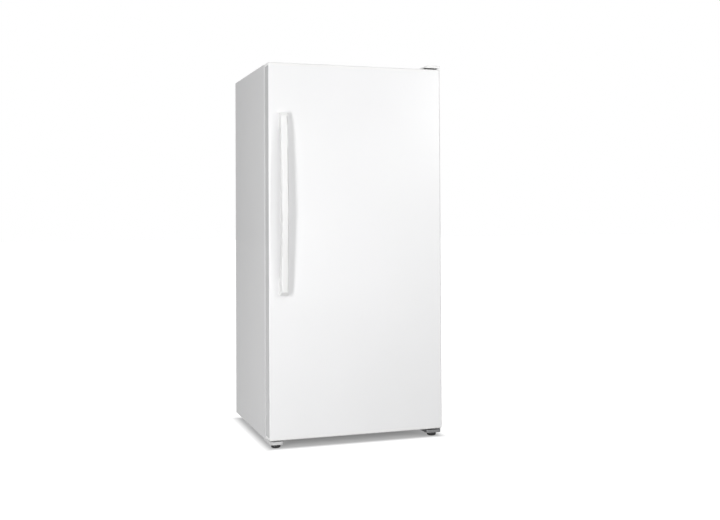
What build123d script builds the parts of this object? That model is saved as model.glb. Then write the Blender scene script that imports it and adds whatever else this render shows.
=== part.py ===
from build123d import *
from math import cos, pi, sin
import os

# Upright freezer: a foamed steel cabinet with one full height door, hung on the right.
# Millimetres, +Z up. The front faces -Y and the origin is on the floor, under the middle of the footprint.

os.makedirs("parts", exist_ok=True)

# ---- Cabinet
cabinet_width = 813.0
cabinet_depth = 640.0
cabinet_height = 1656.0
ground_clearance = 30.0  # floor to the cabinet's underside
side_wall = 60.0  # outer face to the storage space
top_wall = 65.0
floor_wall = 60.0
back_wall = 60.0
sheet = 1.0  # painted steel
panel_gap = 0.3  # between neighbouring panels
flange_width = 42.0  # front face that the door's gasket closes on
front_bend_radius = 12.0
hem_bend_radius = 3.0
rear_hem = 16.0
liner_wall = 2.0
liner_tuck = 8.0  # how far the liner reaches behind the steel flange
cavity_radius = 22.0
machine_depth = 230.0  # compressor compartment, at the foot of the back
machine_height = 215.0
step_wall = 55.0  # insulation between the compartment and the storage space
rail_depth = 62.0
rail_height = 25.0
rail_wall = 2.5
tray_thickness = 2.0
tray_flange = 18.0

# ---- Door
door_lift = 6.0  # the door's lower edge above the cabinet's underside
door_thickness = 66.0
gasket_depth = 16.0
gasket_inset = 14.0
gasket_width = 20.0
gasket_gap = 0.3  # soft seal to the flange
door_bend_radius = 8.0
door_hem = 12.0
cap_height = 14.0
cap_wall = 2.5
cap_rounding = 7.0
column_width = 28.0  # the two raised columns that carry the door bins
column_depth = 84.0
column_floor_gap = 10.0  # above the storage space's floor
column_ceiling_gap = 11.0
column_radius = 8.0
column_clearance = 16.5  # from the storage space's wall
bin_depth = 104.0
bin_height = 112.0
bin_wall = 2.5
bin_radius = 10.0
bin_rim = 4.5
bin_side_gap = 1.0
bin_count = 4
lowest_bin = 50.0  # above the columns' foot
highest_bin = 395.0  # below the columns' top
lug_depth = 70.0
lug_height = 8.0
lug_reach = 9.0

# ---- Handle
handle_reach = 52.0  # at the middle of the bow
handle_end_reach = 35.0
handle_width = 33.0
handle_inset = 63.0  # its middle from the door's edge
handle_length = 798.0
handle_top_gap = 221.0  # below the door's top
handle_post = 72.0
handle_bar = 19.0
handle_end_radius = 15.0
handle_rounding = 7.0
handle_screw_radius = 3.0
handle_screw_length = 12.0  # into the handle's posts

# ---- Hinges, feet and rollers
hinge_inset = 13.0
hinge_setback = 33.0  # behind the door's front
pin_radius = 5.0
pin_clearance = 0.05
pin_length = 32.0
bush_radius = 9.0
bush_length = 34.0
bush_flange_radius = 12.0
bush_flange = 2.0
leaf_thickness = 3.0
leaf_lift = 6.0
leaf_width = 57.0
leaf_overhang = 10.0  # outside the hinge axis
leaf_rear = 110.0  # behind the cabinet's front
leaf_end_radius = 12.0
leaf_joggle_front = 4.0  # behind the cabinet's front
leaf_joggle_rear = 12.0
leaf_screw_side = 14.0
leaf_screw_front = 32.0
leaf_screw_rear = 88.0
cover_width = 75.0
cover_height = 19.0
cover_wall = 2.0
cover_front = 3.0  # behind the door's front
cover_rear = 120.0
cover_side_gap = 0.5
cover_gap = 0.5  # from the raised leaf's underside to the cover's lower edge
cover_slope = 16.0
cover_rounding = 3.0
screw_radius = 3.0
screw_length = 22.0
screw_head_radius = 5.5
screw_head_height = 4.0
bracket_plate = 4.0
bracket_drop = 13.0  # the lip hangs this far below the cabinet
bracket_wall = 3.0
bracket_front = 8.0  # behind the door's front
bracket_rear = 63.0  # behind the cabinet's front
bracket_radius = 18.0
bracket_screw_side = 18.0
bracket_screw_setback = 20.0
foot_bracket_width = 61.0
hinge_bracket_width = 75.0
collar_radius = 9.0
foot_inset = 38.0
foot_setback = 40.0  # behind the door's front
foot_height = 15.5
foot_radius = 21.0
foot_base_radius = 15.0
foot_edge = 3.0
foot_flare = 7.0
stem_radius = 5.0
stem_reach = 3.5  # above the cabinet's underside
nut_radius = 9.0
nut_height = 8.0
roller_radius = 14.0
roller_width = 18.0
roller_edge = 1.5
roller_inset = 45.0
roller_setback = 36.0  # in front of the cabinet's back
axle_radius = 4.0
axle_clearance = 0.25
cheek_length = 62.0
cheek_thickness = 2.0
cheek_gap = 1.0
cheek_drop = 21.0

# ---- Inside
shelf_count = 4
lowest_shelf = 66.0  # above the step: room for a hand over the basket's rim
highest_shelf = 345.0  # below the ceiling
shelf_front = 108.0  # behind the cabinet's front
shelf_side_gap = 4.0
shelf_lip = 20.0
rail_size = 5.0
wire_size = 4.0
wire_pitch = 56.0
shelf_rails = 3
duct_depth = 65.0
duct_wall = 2.5
duct_side_gap = 2.0
duct_ceiling_gap = 61.0
duct_shelf_gap = 7.0
vent_width = 120.0
vent_height = 8.0
vent_pitch = 18.0
vent_spacing = 140.0
vent_columns = 4
vent_rows = 2
vent_top_gap = 60.0
vent_low_gap = 50.0
grille_width = 130.0
grille_pitch = 20.0
grille_rows = 6
ledge_width = 12.0
ledge_height = 10.0
basket_rim_drop = 60.0  # below the step's top
basket_rim_height = 5.0
basket_rim_width = 13.0
basket_floor_gap = 21.0
basket_back_gap = 15.0  # in front of the step
basket_side_gap = 3.0
basket_corner = 9.0
basket_pitch = 74.0
basket_hoops = 1
slide_gap = 0.3
coil_side_gap = 106.5
coil_step_gap = 40.0
coil_height = 220.0
coil_depth = 50.0
coil_gap = 3.0  # behind the duct cover's front wall
coil_core = 6.0
fin_pitch = 60.0
fin_thickness = 3.0
coil_tube_radius = 4.5
coil_bend_radius = 14.0
end_plate_thickness = 2.0
fan_coil_gap = 210.0
fan_radius = 74.0
fan_hub_radius = 17.0
fan_hub_length = 14.0
fan_blades = 5
blade_chord = 34.0
blade_thickness = 2.0
blade_pitch = 30.0  # degrees
fan_gap = 14.0  # behind the duct cover's front wall
motor_radius = 29.0
motor_length = 28.0
motor_edge = 4.0
spindle_radius = 2.5
spindle_clearance = 0.05
control_width = 380.0
control_depth = 110.0
control_height = 44.0
control_front = 104.0  # behind the cabinet's front
control_wall = 2.5
control_radius = 8.0
lens_width = 130.0
lens_depth = 60.0
lens_inset = 30.0
lens_drop = 3.5
lens_edge = 2.5
lens_flange = 4.0
knob_inset = 75.0
knob_radius = 17.0
knob_length = 15.0
knob_grip_radius = 13.5
knob_ridge = 7.0
knob_shaft_radius = 3.0
knob_clearance = 0.05
knob_gap = 0.3
switch_inset = 96.5
switch_height = 12.0
switch_width = 20.0
switch_depth = 24.0
button_radius = 4.0
button_clearance = 0.05
button_tail = 14.0
button_travel = 2.0
button_edge = 1.0

# ---- Compressor compartment
compressor_side_gap = 206.5
compressor_setback = 112.0  # in front of the cabinet's back
compressor_radius = 78.0
compressor_height = 165.0
compressor_seam = 3.0
base_half_width = 93.0
base_half_depth = 73.0
base_thickness = 3.0
bolt_inset = 11.0
bolt_radius = 4.0
bolt_head_radius = 7.0
grommet_radius = 10.0
grommet_height = 14.0
suction_radius = 4.0
discharge_radius = 3.0
tube_reach = 42.0
tube_bend = 10.0
suction_level = 118.0
discharge_level = 98.0
drier_compressor_gap = 155.0
drier_setback = 60.0
drier_radius = 9.0
drier_length = 90.0
drier_tube_radius = 3.0
drier_tube_length = 34.0
terminal_width = 62.0
terminal_height = 58.0
terminal_depth = 24.0
terminal_level = 42.0
terminal_bevel = 4.0
pan_half_width = 118.0
pan_side_gap = 201.5
pan_setback = 108.0
pan_half_depth = 88.0
pan_height = 40.0
pan_wall = 2.0
pan_corner = 10.0
drain_setback = 102.0
drain_radius = 8.0
drain_bore = 6.5
drain_dip = 12.0  # how far the tube reaches into the pan
louvre_width = 130.0
louvre_height = 6.0
louvre_pitch = 15.0
louvre_rows = 6
louvre_columns = 4
cover_return = 10.0
cover_screw_radius = 2.0
cover_screw_head = 4.5
cover_screw_inset = 12.0
gland_radius = 8.0
gland_bore = 4.5
gland_flange = 2.5
gland_inset = 60.0
gland_height = 45.0

# ---- Places worked out from the sizes above
half_width = cabinet_width / 2
overall_depth = cabinet_depth + gasket_depth + door_thickness + handle_reach
cabinet_back = overall_depth / 2
cabinet_front = cabinet_back - cabinet_depth
door_back = cabinet_front - gasket_depth
door_front = door_back - door_thickness
skin_back = door_back - liner_wall
cabinet_bottom = ground_clearance
cabinet_top = cabinet_bottom + cabinet_height
door_bottom = cabinet_bottom + door_lift
door_top = cabinet_top
cavity_half = half_width - side_wall
cavity_floor = cabinet_bottom + floor_wall
cavity_ceiling = cabinet_top - top_wall
cavity_back = cabinet_back - back_wall
step_front = cabinet_back - machine_depth - step_wall
step_top = cabinet_bottom + machine_height + step_wall
machine_front = cabinet_back - machine_depth
machine_ceiling = cabinet_bottom + machine_height
back_sheet = cabinet_back - 2 * sheet  # the back panels lie just inside the rear hems
back_reach = half_width - hem_bend_radius - panel_gap
duct_front = cavity_back - duct_depth
hinge_x = half_width - hinge_inset
hinge_y = door_front + hinge_setback
foot_x = half_width - foot_inset
foot_y = door_front + foot_setback
roller_x = half_width - roller_inset
roller_y = cabinet_back - roller_setback
compressor_y = cabinet_back - compressor_setback
tray_top = cabinet_bottom + tray_thickness
base_bottom = tray_top + grommet_height
base_top = base_bottom + base_thickness
compressor_offset = half_width - compressor_side_gap
pan_offset = pan_side_gap - half_width
drier_offset = compressor_offset - drier_compressor_gap
duct_top = cavity_ceiling - duct_ceiling_gap
coil_half_width = cavity_half - coil_side_gap
coil_bottom = step_top + coil_step_gap
fan_level = coil_bottom + coil_height + fan_coil_gap
lens_offset = lens_inset + (lens_width - control_width) / 2
knob_offset = control_width / 2 - knob_inset
switch_offset = cavity_half - switch_inset
stem_top = cabinet_bottom + stem_reach
handle_top = door_top - handle_top_gap
handle_bottom = handle_top - handle_length
column_bottom = cavity_floor + column_floor_gap
column_top = cavity_ceiling - column_ceiling_gap


def evenly(first, last, count):
    """Levels from the first to the last, with equal steps between them."""
    return [first + (last - first) * index / (count - 1) for index in range(count)]


bin_levels = evenly(column_bottom + lowest_bin, column_top - highest_bin, bin_count)
shelf_levels = evenly(step_top + lowest_shelf, cavity_ceiling - highest_shelf, shelf_count)


def save(piece, name):
    """Label a finished piece and write it to its own file."""
    piece.part.label = name
    export_step(piece.part, f"parts/{name}.step")


def block(low, high, mode=Mode.ADD):
    """A box between two opposite corners."""
    size = [b - a for a, b in zip(low, high)]
    with Locations(low):
        Box(*size, align=(Align.MIN, Align.MIN, Align.MIN), mode=mode)


def rod(start, direction, length, radius, mode=Mode.ADD):
    """A cylinder that starts at a point and runs along a direction."""
    with Locations(Plane(origin=start, z_dir=direction)):
        Cylinder(radius, length, align=(Align.CENTER, Align.CENTER, Align.MIN), mode=mode)


def bar(start, direction, length, radius, sides=8):
    """A straight bar with flat sides: a screw's shank, or the hole that the shank fills."""
    with BuildPart() as piece:
        with BuildSketch(Plane(origin=start, z_dir=direction)):
            RegularPolygon(radius, sides)
        extrude(amount=length)
    return piece.part


def turned(outline, origin, direction, sides=24):
    """A turned form with flat sides, from (radius, distance along the axis) pairs, closed by flat ends."""
    axis_plane = Plane(origin=origin, z_dir=direction)
    step = 2 * pi / sides
    rings = []
    for radius, along in outline:
        corner = radius / cos(step / 2)
        angles = [(index + 0.5) * step for index in range(sides)]
        ring = [(corner * cos(angle), corner * sin(angle), along) for angle in angles]
        rings.append([axis_plane.from_local_coords(point) for point in ring])
    faces = [Face(Wire.make_polygon(rings[0])), Face(Wire.make_polygon(rings[-1]))]
    for near, far in zip(rings, rings[1:]):
        for index in range(sides):
            corners = [near[index - 1], near[index], far[index], far[index - 1]]
            faces.append(Face(Wire.make_polygon(corners)))
    return Solid(Shell(faces))


def save_set(solids, name):
    """Write pieces that touch each other as separate solids of one file."""
    export_step(Compound(solids, label=name), f"parts/{name}.step")


def hex_screw(seat, direction, radius, length, head_radius, head_height):
    """A hexagon headed screw: the head sits on the seat and the shank runs along the direction."""
    away = Vector(*direction) * -1
    with BuildPart() as screw:
        add(bar(seat, away, head_height, head_radius, sides=6))
        add(bar(seat, direction, length, radius))
    return screw.part


# ================================================================ Cabinet shell

with BuildPart() as side_panel_left:
    with BuildSketch(Plane.XY.offset(cabinet_bottom)):
        with BuildLine():
            FilletPolyline(
                (-half_width + rear_hem, cabinet_back),
                (-half_width, cabinet_back),
                (-half_width, cabinet_front),
                (-half_width + flange_width, cabinet_front),
                radius=[hem_bend_radius, front_bend_radius],
            )
            offset(amount=sheet, side=Side.LEFT)
        make_face()
    extrude(amount=cabinet_height)
save(side_panel_left, "side_panel_left")

with BuildPart() as side_panel_right:
    mirror(side_panel_left.part, about=Plane.YZ)
save(side_panel_right, "side_panel_right")

# Screws that hold the upper hinge leaf, and the ones that hold the two brackets under the front.
leaf_outer = hinge_x + leaf_overhang
leaf_middle = leaf_outer - leaf_width / 2
leaf_screws = [
    (leaf_middle - leaf_screw_side, cabinet_front + leaf_screw_front),
    (leaf_middle + leaf_screw_side, cabinet_front + leaf_screw_front),
    (leaf_middle, cabinet_front + leaf_screw_rear),
]
bracket_screws = [
    (side * foot_x + across, cabinet_front + bracket_screw_setback)
    for side in (-1, 1)
    for across in (-bracket_screw_side, bracket_screw_side)
]


def end_panel(outer_z, inward, back_y, holes):
    """The cabinet's top (inward is -1) or bottom (inward is 1): a flat sheet with a front flange."""
    low = min(outer_z, outer_z + inward * sheet)
    flange_low = min(outer_z, outer_z + inward * flange_width)
    reach = half_width - sheet - panel_gap
    flange_reach = half_width - flange_width - panel_gap
    with BuildPart() as panel:
        block((-reach, cabinet_front + sheet, low), (reach, back_y, low + sheet))
        fillet(panel.edges().filter_by(Axis.Z).sort_by(Axis.Y)[:2], front_bend_radius - sheet)
        block(
            (-flange_reach, cabinet_front, flange_low),
            (flange_reach, cabinet_front + sheet, flange_low + flange_width),
        )
        for x, y in holes:
            add(bar((x, y, low), (0, 0, 1), sheet, screw_radius), mode=Mode.SUBTRACT)
    return panel


top_panel = end_panel(cabinet_top, -1, back_sheet, leaf_screws)
save(top_panel, "top_panel")

bottom_panel = end_panel(cabinet_bottom, 1, machine_front, bracket_screws)
save(bottom_panel, "bottom_panel")

with BuildPart() as back_panel:
    block((-back_reach, back_sheet, machine_ceiling), (back_reach, back_sheet + sheet, cabinet_top))
save(back_panel, "back_panel")

# Front cross member: a channel, open downwards, that the brackets under the front are screwed into.
rail_reach = half_width - sheet - panel_gap
rail_low = (-rail_reach, cabinet_front + front_bend_radius, cabinet_bottom + sheet)
rail_high = (rail_reach, cabinet_front + rail_depth, cabinet_bottom + sheet + rail_height)
with BuildPart() as base_rail:
    block(rail_low, rail_high)
    block(
        (rail_low[0], rail_low[1] + rail_wall, rail_low[2] + rail_wall),
        (rail_high[0], rail_high[1] - rail_wall, rail_high[2]),
        mode=Mode.SUBTRACT,
    )
    for x, y in bracket_screws:
        add(bar((x, y, rail_low[2]), (0, 0, 1), rail_height, screw_radius), mode=Mode.SUBTRACT)
save(base_rail, "base_rail")


def cavity(grow=0.0):
    """The storage space with its step over the compressor, grown outwards by a wall."""
    low, high = cavity_floor - grow, cavity_ceiling + grow
    back = cavity_back + grow
    with BuildPart() as space:
        with BuildSketch(Plane.YZ.offset(-cavity_half - grow)):
            with BuildLine():
                outline = FilletPolyline(
                    (cabinet_front, low),
                    (step_front + grow, low),
                    (step_front + grow, step_top - grow),
                    (back, step_top - grow),
                    (back, high),
                    (cabinet_front, high),
                    radius=[cavity_radius + grow, cavity_radius - grow] + 2 * [cavity_radius + grow],
                )
                Line(outline @ 1, outline @ 0)
            make_face()
        extrude(amount=2 * (cavity_half + grow))
        with BuildSketch(Plane.XZ.offset(-back)):
            with Locations((0, (low + high) / 2)):
                RectangleRounded(2 * (cavity_half + grow), high - low, cavity_radius + grow)
        extrude(amount=back - cabinet_front, mode=Mode.INTERSECT)
    return space.part


storage_space = cavity()
liner_body = cavity(liner_wall)
tuck_reach = half_width - flange_width + liner_tuck
tuck_low = (-tuck_reach, cabinet_front + sheet, cabinet_bottom + flange_width - liner_tuck)
tuck_high = (tuck_reach, cabinet_front + sheet + liner_wall, cabinet_top - flange_width + liner_tuck)

drain_x = pan_offset
drain_y = cabinet_back - drain_setback
switch_z = (cavity_ceiling + cabinet_top - flange_width) / 2
switch_front = cabinet_front + sheet + liner_wall
switch_low = (switch_offset - switch_width / 2, switch_front, switch_z - switch_height / 2)
switch_high = (switch_offset + switch_width / 2, switch_front + switch_depth, switch_z + switch_height / 2)
shelf_back = duct_front - duct_shelf_gap
shelf_y = cabinet_front + shelf_front
basket_rim_level = step_top - basket_rim_drop
basket_ledge = basket_rim_level - slide_gap

with BuildPart() as inner_liner:
    add(liner_body)
    block(tuck_low, tuck_high)
    add(storage_space, mode=Mode.SUBTRACT)
    for side in (-1, 1):
        inner, outer = sorted((side * (cavity_half - ledge_width), side * (cavity_half + liner_wall / 2)))
        for level in shelf_levels:
            block((inner, shelf_y, level - ledge_height), (outer, shelf_back, level))
        block(
            (inner, shelf_y, basket_ledge - ledge_height),
            (outer, step_front - cavity_radius, basket_ledge),
        )
    add(
        bar((drain_x, drain_y, step_top - 2 * liner_wall), (0, 0, 1), 3 * liner_wall, drain_radius, sides=16),
        mode=Mode.SUBTRACT,
    )
    block(
        (switch_low[0] + liner_wall, cabinet_front, switch_low[2] + liner_wall),
        (switch_high[0] - liner_wall, switch_front + sheet, switch_high[2] - liner_wall),
        mode=Mode.SUBTRACT,
    )
save(inner_liner, "inner_liner")

with BuildPart() as cabinet_insulation:
    block(
        (-half_width + sheet, cabinet_front + sheet, cabinet_bottom + sheet),
        (half_width - sheet, back_sheet, cabinet_top - sheet),
    )
    corners = cabinet_insulation.edges().filter_by(Axis.Z).sort_by(Axis.Y)
    fillet(corners[:2], front_bend_radius - sheet)
    chamfer(corners[-2:], hem_bend_radius - sheet)
    add(liner_body, mode=Mode.SUBTRACT)
    block(tuck_low, tuck_high, mode=Mode.SUBTRACT)
    block(
        (-half_width, machine_front, cabinet_bottom),
        (half_width, cabinet_back, machine_ceiling),
        mode=Mode.SUBTRACT,
    )
    block(
        (-half_width, rail_low[1], rail_low[2]), (half_width, rail_high[1], rail_high[2]), mode=Mode.SUBTRACT
    )
    block(switch_low, switch_high, mode=Mode.SUBTRACT)
    add(
        bar((drain_x, drain_y, machine_ceiling), (0, 0, 1), 2 * step_wall, drain_radius, sides=16),
        mode=Mode.SUBTRACT,
    )
    for x, y in leaf_screws:
        screw_room = bar((x, y, cabinet_top), (0, 0, -1), screw_length - leaf_thickness, screw_radius)
        add(screw_room, mode=Mode.SUBTRACT)
save(cabinet_insulation, "cabinet_insulation")

# ================================================================ Hinges and ground

leaf_low = cabinet_top + leaf_lift
joggle_rear = cabinet_front + leaf_joggle_rear
joggle_front = cabinet_front + leaf_joggle_front

with BuildPart() as top_hinge_leaf:
    with BuildSketch(Plane.YZ.offset(leaf_outer - leaf_width)):
        with BuildLine():
            Polyline(
                (cabinet_front + leaf_rear, cabinet_top),
                (joggle_rear, cabinet_top),
                (joggle_front, leaf_low),
                (hinge_y - leaf_end_radius, leaf_low),
                (hinge_y - leaf_end_radius, leaf_low + leaf_thickness),
                (joggle_front + leaf_thickness / 2, leaf_low + leaf_thickness),
                (joggle_rear + leaf_thickness / 2, cabinet_top + leaf_thickness),
                (cabinet_front + leaf_rear, cabinet_top + leaf_thickness),
                close=True,
            )
        make_face()
    extrude(amount=leaf_width)
    leaf_corners = top_hinge_leaf.edges().filter_by(Axis.Z).sort_by(Axis.Y)
    fillet(leaf_corners[:2], leaf_end_radius - pin_radius / 2)
    fillet(leaf_corners[-2:], leaf_end_radius)
    rod((hinge_x, hinge_y, leaf_low), (0, 0, -1), pin_length + leaf_lift, pin_radius)
    for x, y in leaf_screws:
        add(bar((x, y, cabinet_top), (0, 0, 1), leaf_thickness, screw_radius), mode=Mode.SUBTRACT)
save(top_hinge_leaf, "top_hinge_leaf")

cover_x = half_width - cover_side_gap
cover_top = cabinet_top + cover_height
cover_y = (door_front + cover_front, cabinet_front + cover_rear)
cover_left = cover_x - cover_width + cover_side_gap


def hinge_cap(inset):
    """The hinge cover's outer or inner form: its left side slopes up to a flat top."""
    with BuildPart() as cap:
        with BuildSketch(Plane.XZ.offset(-cover_y[1] + inset)):
            with BuildLine():
                Polyline(
                    (cover_left + inset, cabinet_top),
                    (cover_left + inset, cabinet_top + leaf_lift),
                    (cover_left + inset + cover_slope, cover_top - inset),
                    (cover_x - inset, cover_top - inset),
                    (cover_x - inset, cabinet_top),
                    close=True,
                )
            make_face()
        extrude(amount=cover_y[1] - cover_y[0] - 2 * inset)
    return cap


with BuildPart() as top_hinge_cover:
    add(hinge_cap(0).part)
    cap_rim = top_hinge_cover.edges().group_by(Axis.Z)[-1]
    fillet(cap_rim, cover_rounding)
    add(hinge_cap(cover_wall).part, mode=Mode.SUBTRACT)
    block(
        (cover_left, cover_y[0], cabinet_top),
        (cover_x, joggle_front - leaf_thickness, leaf_low + cover_gap),
        mode=Mode.SUBTRACT,
    )
save(top_hinge_cover, "top_hinge_cover")

bracket_low = cabinet_bottom - bracket_drop
plate_low = cabinet_bottom - bracket_plate


def front_bracket(x_low, x_high, foot_centre):
    """A pressed bracket that reaches forward under the door, with a down-turned lip and the foot's nut."""
    front, rear = door_front + bracket_front, cabinet_front + bracket_rear
    with BuildPart() as bracket:
        block((x_low, front, bracket_low), (x_high, rear, cabinet_bottom))
        fillet(bracket.edges().filter_by(Axis.Z).sort_by(Axis.Y)[:2], bracket_radius)
        with BuildSketch(Plane.XY.offset(bracket_low)):
            with Locations(((x_low + x_high) / 2, (front + rear) / 2)):
                RectangleRounded(
                    x_high - x_low - 2 * bracket_wall,
                    rear - front - 2 * bracket_wall,
                    bracket_radius - bracket_wall,
                )
        extrude(amount=plate_low - bracket_low, mode=Mode.SUBTRACT)
        with BuildSketch(Plane.XY.offset(plate_low)):
            with Locations((foot_centre, foot_y)):
                RegularPolygon(nut_radius, 6)
        extrude(amount=-nut_height)
        stem_hole = turned(
            [(stem_radius + pin_clearance, 0), (stem_radius + pin_clearance, nut_height + bracket_plate)],
            (foot_centre, foot_y, plate_low - nut_height),
            (0, 0, 1),
            sides=12,
        )
        add(stem_hole, mode=Mode.SUBTRACT)
        for x, y in bracket_screws:
            if x_low < x < x_high:
                add(bar((x, y, plate_low), (0, 0, 1), bracket_plate, screw_radius), mode=Mode.SUBTRACT)
    return bracket


foot_bracket_left = front_bracket(-foot_x - foot_bracket_width / 2, -foot_x + foot_bracket_width / 2, -foot_x)
save(foot_bracket_left, "foot_bracket_left")

with BuildPart() as bottom_hinge_bracket:
    add(front_bracket(half_width - hinge_bracket_width, half_width, foot_x).part)
    rod(
        (hinge_x, hinge_y, cabinet_bottom),
        (0, 0, 1),
        door_lift - bush_flange - slide_gap,
        collar_radius,
    )
    rod((hinge_x, hinge_y, plate_low), (0, 0, 1), pin_length + bracket_plate + door_lift, pin_radius)
save(bottom_hinge_bracket, "bottom_hinge_bracket")

with BuildPart() as hinge_screws:
    for x, y in leaf_screws:
        add(
            hex_screw(
                (x, y, cabinet_top + leaf_thickness),
                (0, 0, -1),
                screw_radius,
                screw_length,
                screw_head_radius,
                screw_head_height,
            )
        )
    for x, y in bracket_screws:
        add(
            hex_screw(
                (x, y, plate_low), (0, 0, 1), screw_radius, screw_length, screw_head_radius, screw_head_height
            )
        )
save(hinge_screws, "hinge_screws")


def foot(x):
    """A levelling foot: a flared pad with a threaded stem."""
    pad = [
        (foot_base_radius, 0),
        (foot_radius, foot_flare),
        (foot_radius, foot_height - foot_edge),
        (foot_radius - foot_edge, foot_height),
    ]
    stem = [(stem_radius, foot_height), (stem_radius, stem_top)]
    with BuildPart() as piece:
        add(turned(pad, (x, foot_y, 0), (0, 0, 1)))
        add(turned(stem, (x, foot_y, 0), (0, 0, 1), sides=12))
    return piece


for name, side in (("foot_left", -1), ("foot_right", 1)):
    save(foot(side * foot_x), name)

cheek_x = roller_width / 2 + cheek_gap


def roller_bracket(x):
    """A channel under the rear edge whose two cheeks carry the roller's axle."""
    with BuildPart() as bracket:
        block(
            (x - cheek_x - cheek_thickness, roller_y - cheek_length / 2, cabinet_bottom - cheek_thickness),
            (x + cheek_x + cheek_thickness, roller_y + cheek_length / 2, cabinet_bottom),
        )
        for side in (-1, 1):
            with BuildSketch(Plane.YZ.offset(x + side * (cheek_x + cheek_thickness / 2))):
                with BuildLine():
                    cheek = FilletPolyline(
                        (roller_y - cheek_length / 2, cabinet_bottom),
                        (roller_y - roller_radius, cabinet_bottom - cheek_drop),
                        (roller_y + roller_radius, cabinet_bottom - cheek_drop),
                        (roller_y + cheek_length / 2, cabinet_bottom),
                        radius=axle_radius,
                    )
                    Line(cheek @ 1, cheek @ 0)
                make_face()
            extrude(amount=cheek_thickness / 2, both=True)
        rod(
            (x - cheek_x - cheek_thickness, roller_y, roller_radius),
            (1, 0, 0),
            2 * (cheek_x + cheek_thickness),
            axle_radius,
        )
    return bracket


def roller(x):
    """A small wheel with a crowned tread and a running bore."""
    with BuildPart() as wheel:
        tread = [
            (roller_radius - roller_edge, 0),
            (roller_radius, roller_edge),
            (roller_radius, roller_width - roller_edge),
            (roller_radius - roller_edge, roller_width),
        ]
        add(turned(tread, (x - roller_width / 2, roller_y, roller_radius), (1, 0, 0)))
        rod(
            (x - roller_width / 2, roller_y, roller_radius),
            (1, 0, 0),
            roller_width,
            axle_radius + axle_clearance,
            mode=Mode.SUBTRACT,
        )
    return wheel


for name, side in (("left", -1), ("right", 1)):
    save(roller_bracket(side * roller_x), f"roller_bracket_{name}")
    save(roller(side * roller_x), f"roller_{name}")

# ================================================================ Compressor compartment

with BuildPart() as machine_bulkhead:
    bulkhead_reach = half_width - sheet - panel_gap
    block(
        (-bulkhead_reach, machine_front, tray_top + tray_flange),
        (bulkhead_reach, machine_front + sheet, machine_ceiling),
    )
    block(
        (-bulkhead_reach, machine_front, machine_ceiling - sheet),
        (bulkhead_reach, back_sheet, machine_ceiling),
    )
    add(
        bar((drain_x, drain_y, machine_ceiling - 2 * sheet), (0, 0, 1), 3 * sheet, drain_radius, sides=16),
        mode=Mode.SUBTRACT,
    )
save(machine_bulkhead, "machine_bulkhead")

bolt_points = [
    (
        compressor_offset + sx * (base_half_width - bolt_inset),
        compressor_y + sy * (base_half_depth - bolt_inset),
    )
    for sx in (-1, 1)
    for sy in (-1, 1)
]

with BuildPart() as compressor_tray:
    tray_reach = half_width - sheet - panel_gap
    block((-tray_reach, machine_front, cabinet_bottom), (tray_reach, back_sheet - panel_gap, tray_top))
    block(
        (-tray_reach, machine_front, tray_top),
        (tray_reach, machine_front + tray_thickness, tray_top + tray_flange),
    )
    for x, y in bolt_points:
        add(bar((x, y, cabinet_bottom), (0, 0, 1), tray_thickness, bolt_radius), mode=Mode.SUBTRACT)
save(compressor_tray, "compressor_tray")

with BuildPart() as compressor:
    block(
        (compressor_offset - base_half_width, compressor_y - base_half_depth, base_bottom),
        (compressor_offset + base_half_width, compressor_y + base_half_depth, base_top),
    )
    chamfer(compressor.edges().filter_by(Axis.Z), bolt_inset / 2)
    seam_low = compressor_height * 0.3
    shell = [
        (compressor_radius * 0.8, 0),
        (compressor_radius, compressor_height * 0.15),
        (compressor_radius, compressor_height * 0.7),
        (compressor_radius * 0.9, compressor_height * 0.86),
        (compressor_radius * 0.45, compressor_height),
    ]
    seam_radius = compressor_radius + compressor_seam
    seam = [(seam_radius, seam_low), (seam_radius, seam_low + 2 * compressor_seam)]
    for outline in (shell, seam):
        add(turned(outline, (compressor_offset, compressor_y, base_top), (0, 0, 1), sides=24))
    for x, y in bolt_points:
        add(bar((x, y, base_bottom), (0, 0, 1), base_thickness, bolt_radius), mode=Mode.SUBTRACT)
save(compressor, "compressor")

with BuildPart() as compressor_grommets:
    for x, y in bolt_points:
        add(bar((x, y, tray_top), (0, 0, 1), grommet_height, grommet_radius, sides=12))
        add(bar((x, y, tray_top), (0, 0, 1), grommet_height, bolt_radius), mode=Mode.SUBTRACT)
save(compressor_grommets, "compressor_grommets")

with BuildPart() as compressor_bolts:
    for x, y in bolt_points:
        add(
            hex_screw(
                (x, y, base_top),
                (0, 0, -1),
                bolt_radius,
                base_top - cabinet_bottom,
                bolt_head_radius,
                screw_head_height,
            )
        )
save(compressor_bolts, "compressor_bolts")

with BuildPart() as terminal_cover:
    terminal_low = base_top + terminal_level
    block(
        (compressor_offset - terminal_width / 2, compressor_y, terminal_low),
        (
            compressor_offset + terminal_width / 2,
            compressor_y + compressor_radius + terminal_depth,
            terminal_low + terminal_height,
        ),
    )
    chamfer(terminal_cover.faces().sort_by(Axis.Y)[-1].edges(), terminal_bevel)
    clear_outline = [(seam_radius, 0), (seam_radius, compressor_height)]
    clear_space = turned(clear_outline, (compressor_offset, compressor_y, base_top), (0, 0, 1), sides=24)
    add(clear_space, mode=Mode.SUBTRACT)
save(terminal_cover, "terminal_cover")


def compressor_tube(side, level, radius):
    """A bent tube from the compressor's shell up into the compartment's ceiling."""
    start = compressor_offset + side * compressor_radius
    far = start + side * tube_reach
    with BuildPart() as tube:
        with BuildLine() as path:
            Polyline(
                (start, compressor_y, base_top + level),
                (far - side * tube_bend, compressor_y, base_top + level),
                (far, compressor_y, base_top + level + tube_bend),
                (far, compressor_y, machine_ceiling - sheet),
            )
        with BuildSketch(Plane(origin=path.line @ 0, z_dir=(side, 0, 0))):
            RegularPolygon(radius, 8)
        sweep(path=path.line, transition=Transition.RIGHT)
    return tube


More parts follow.
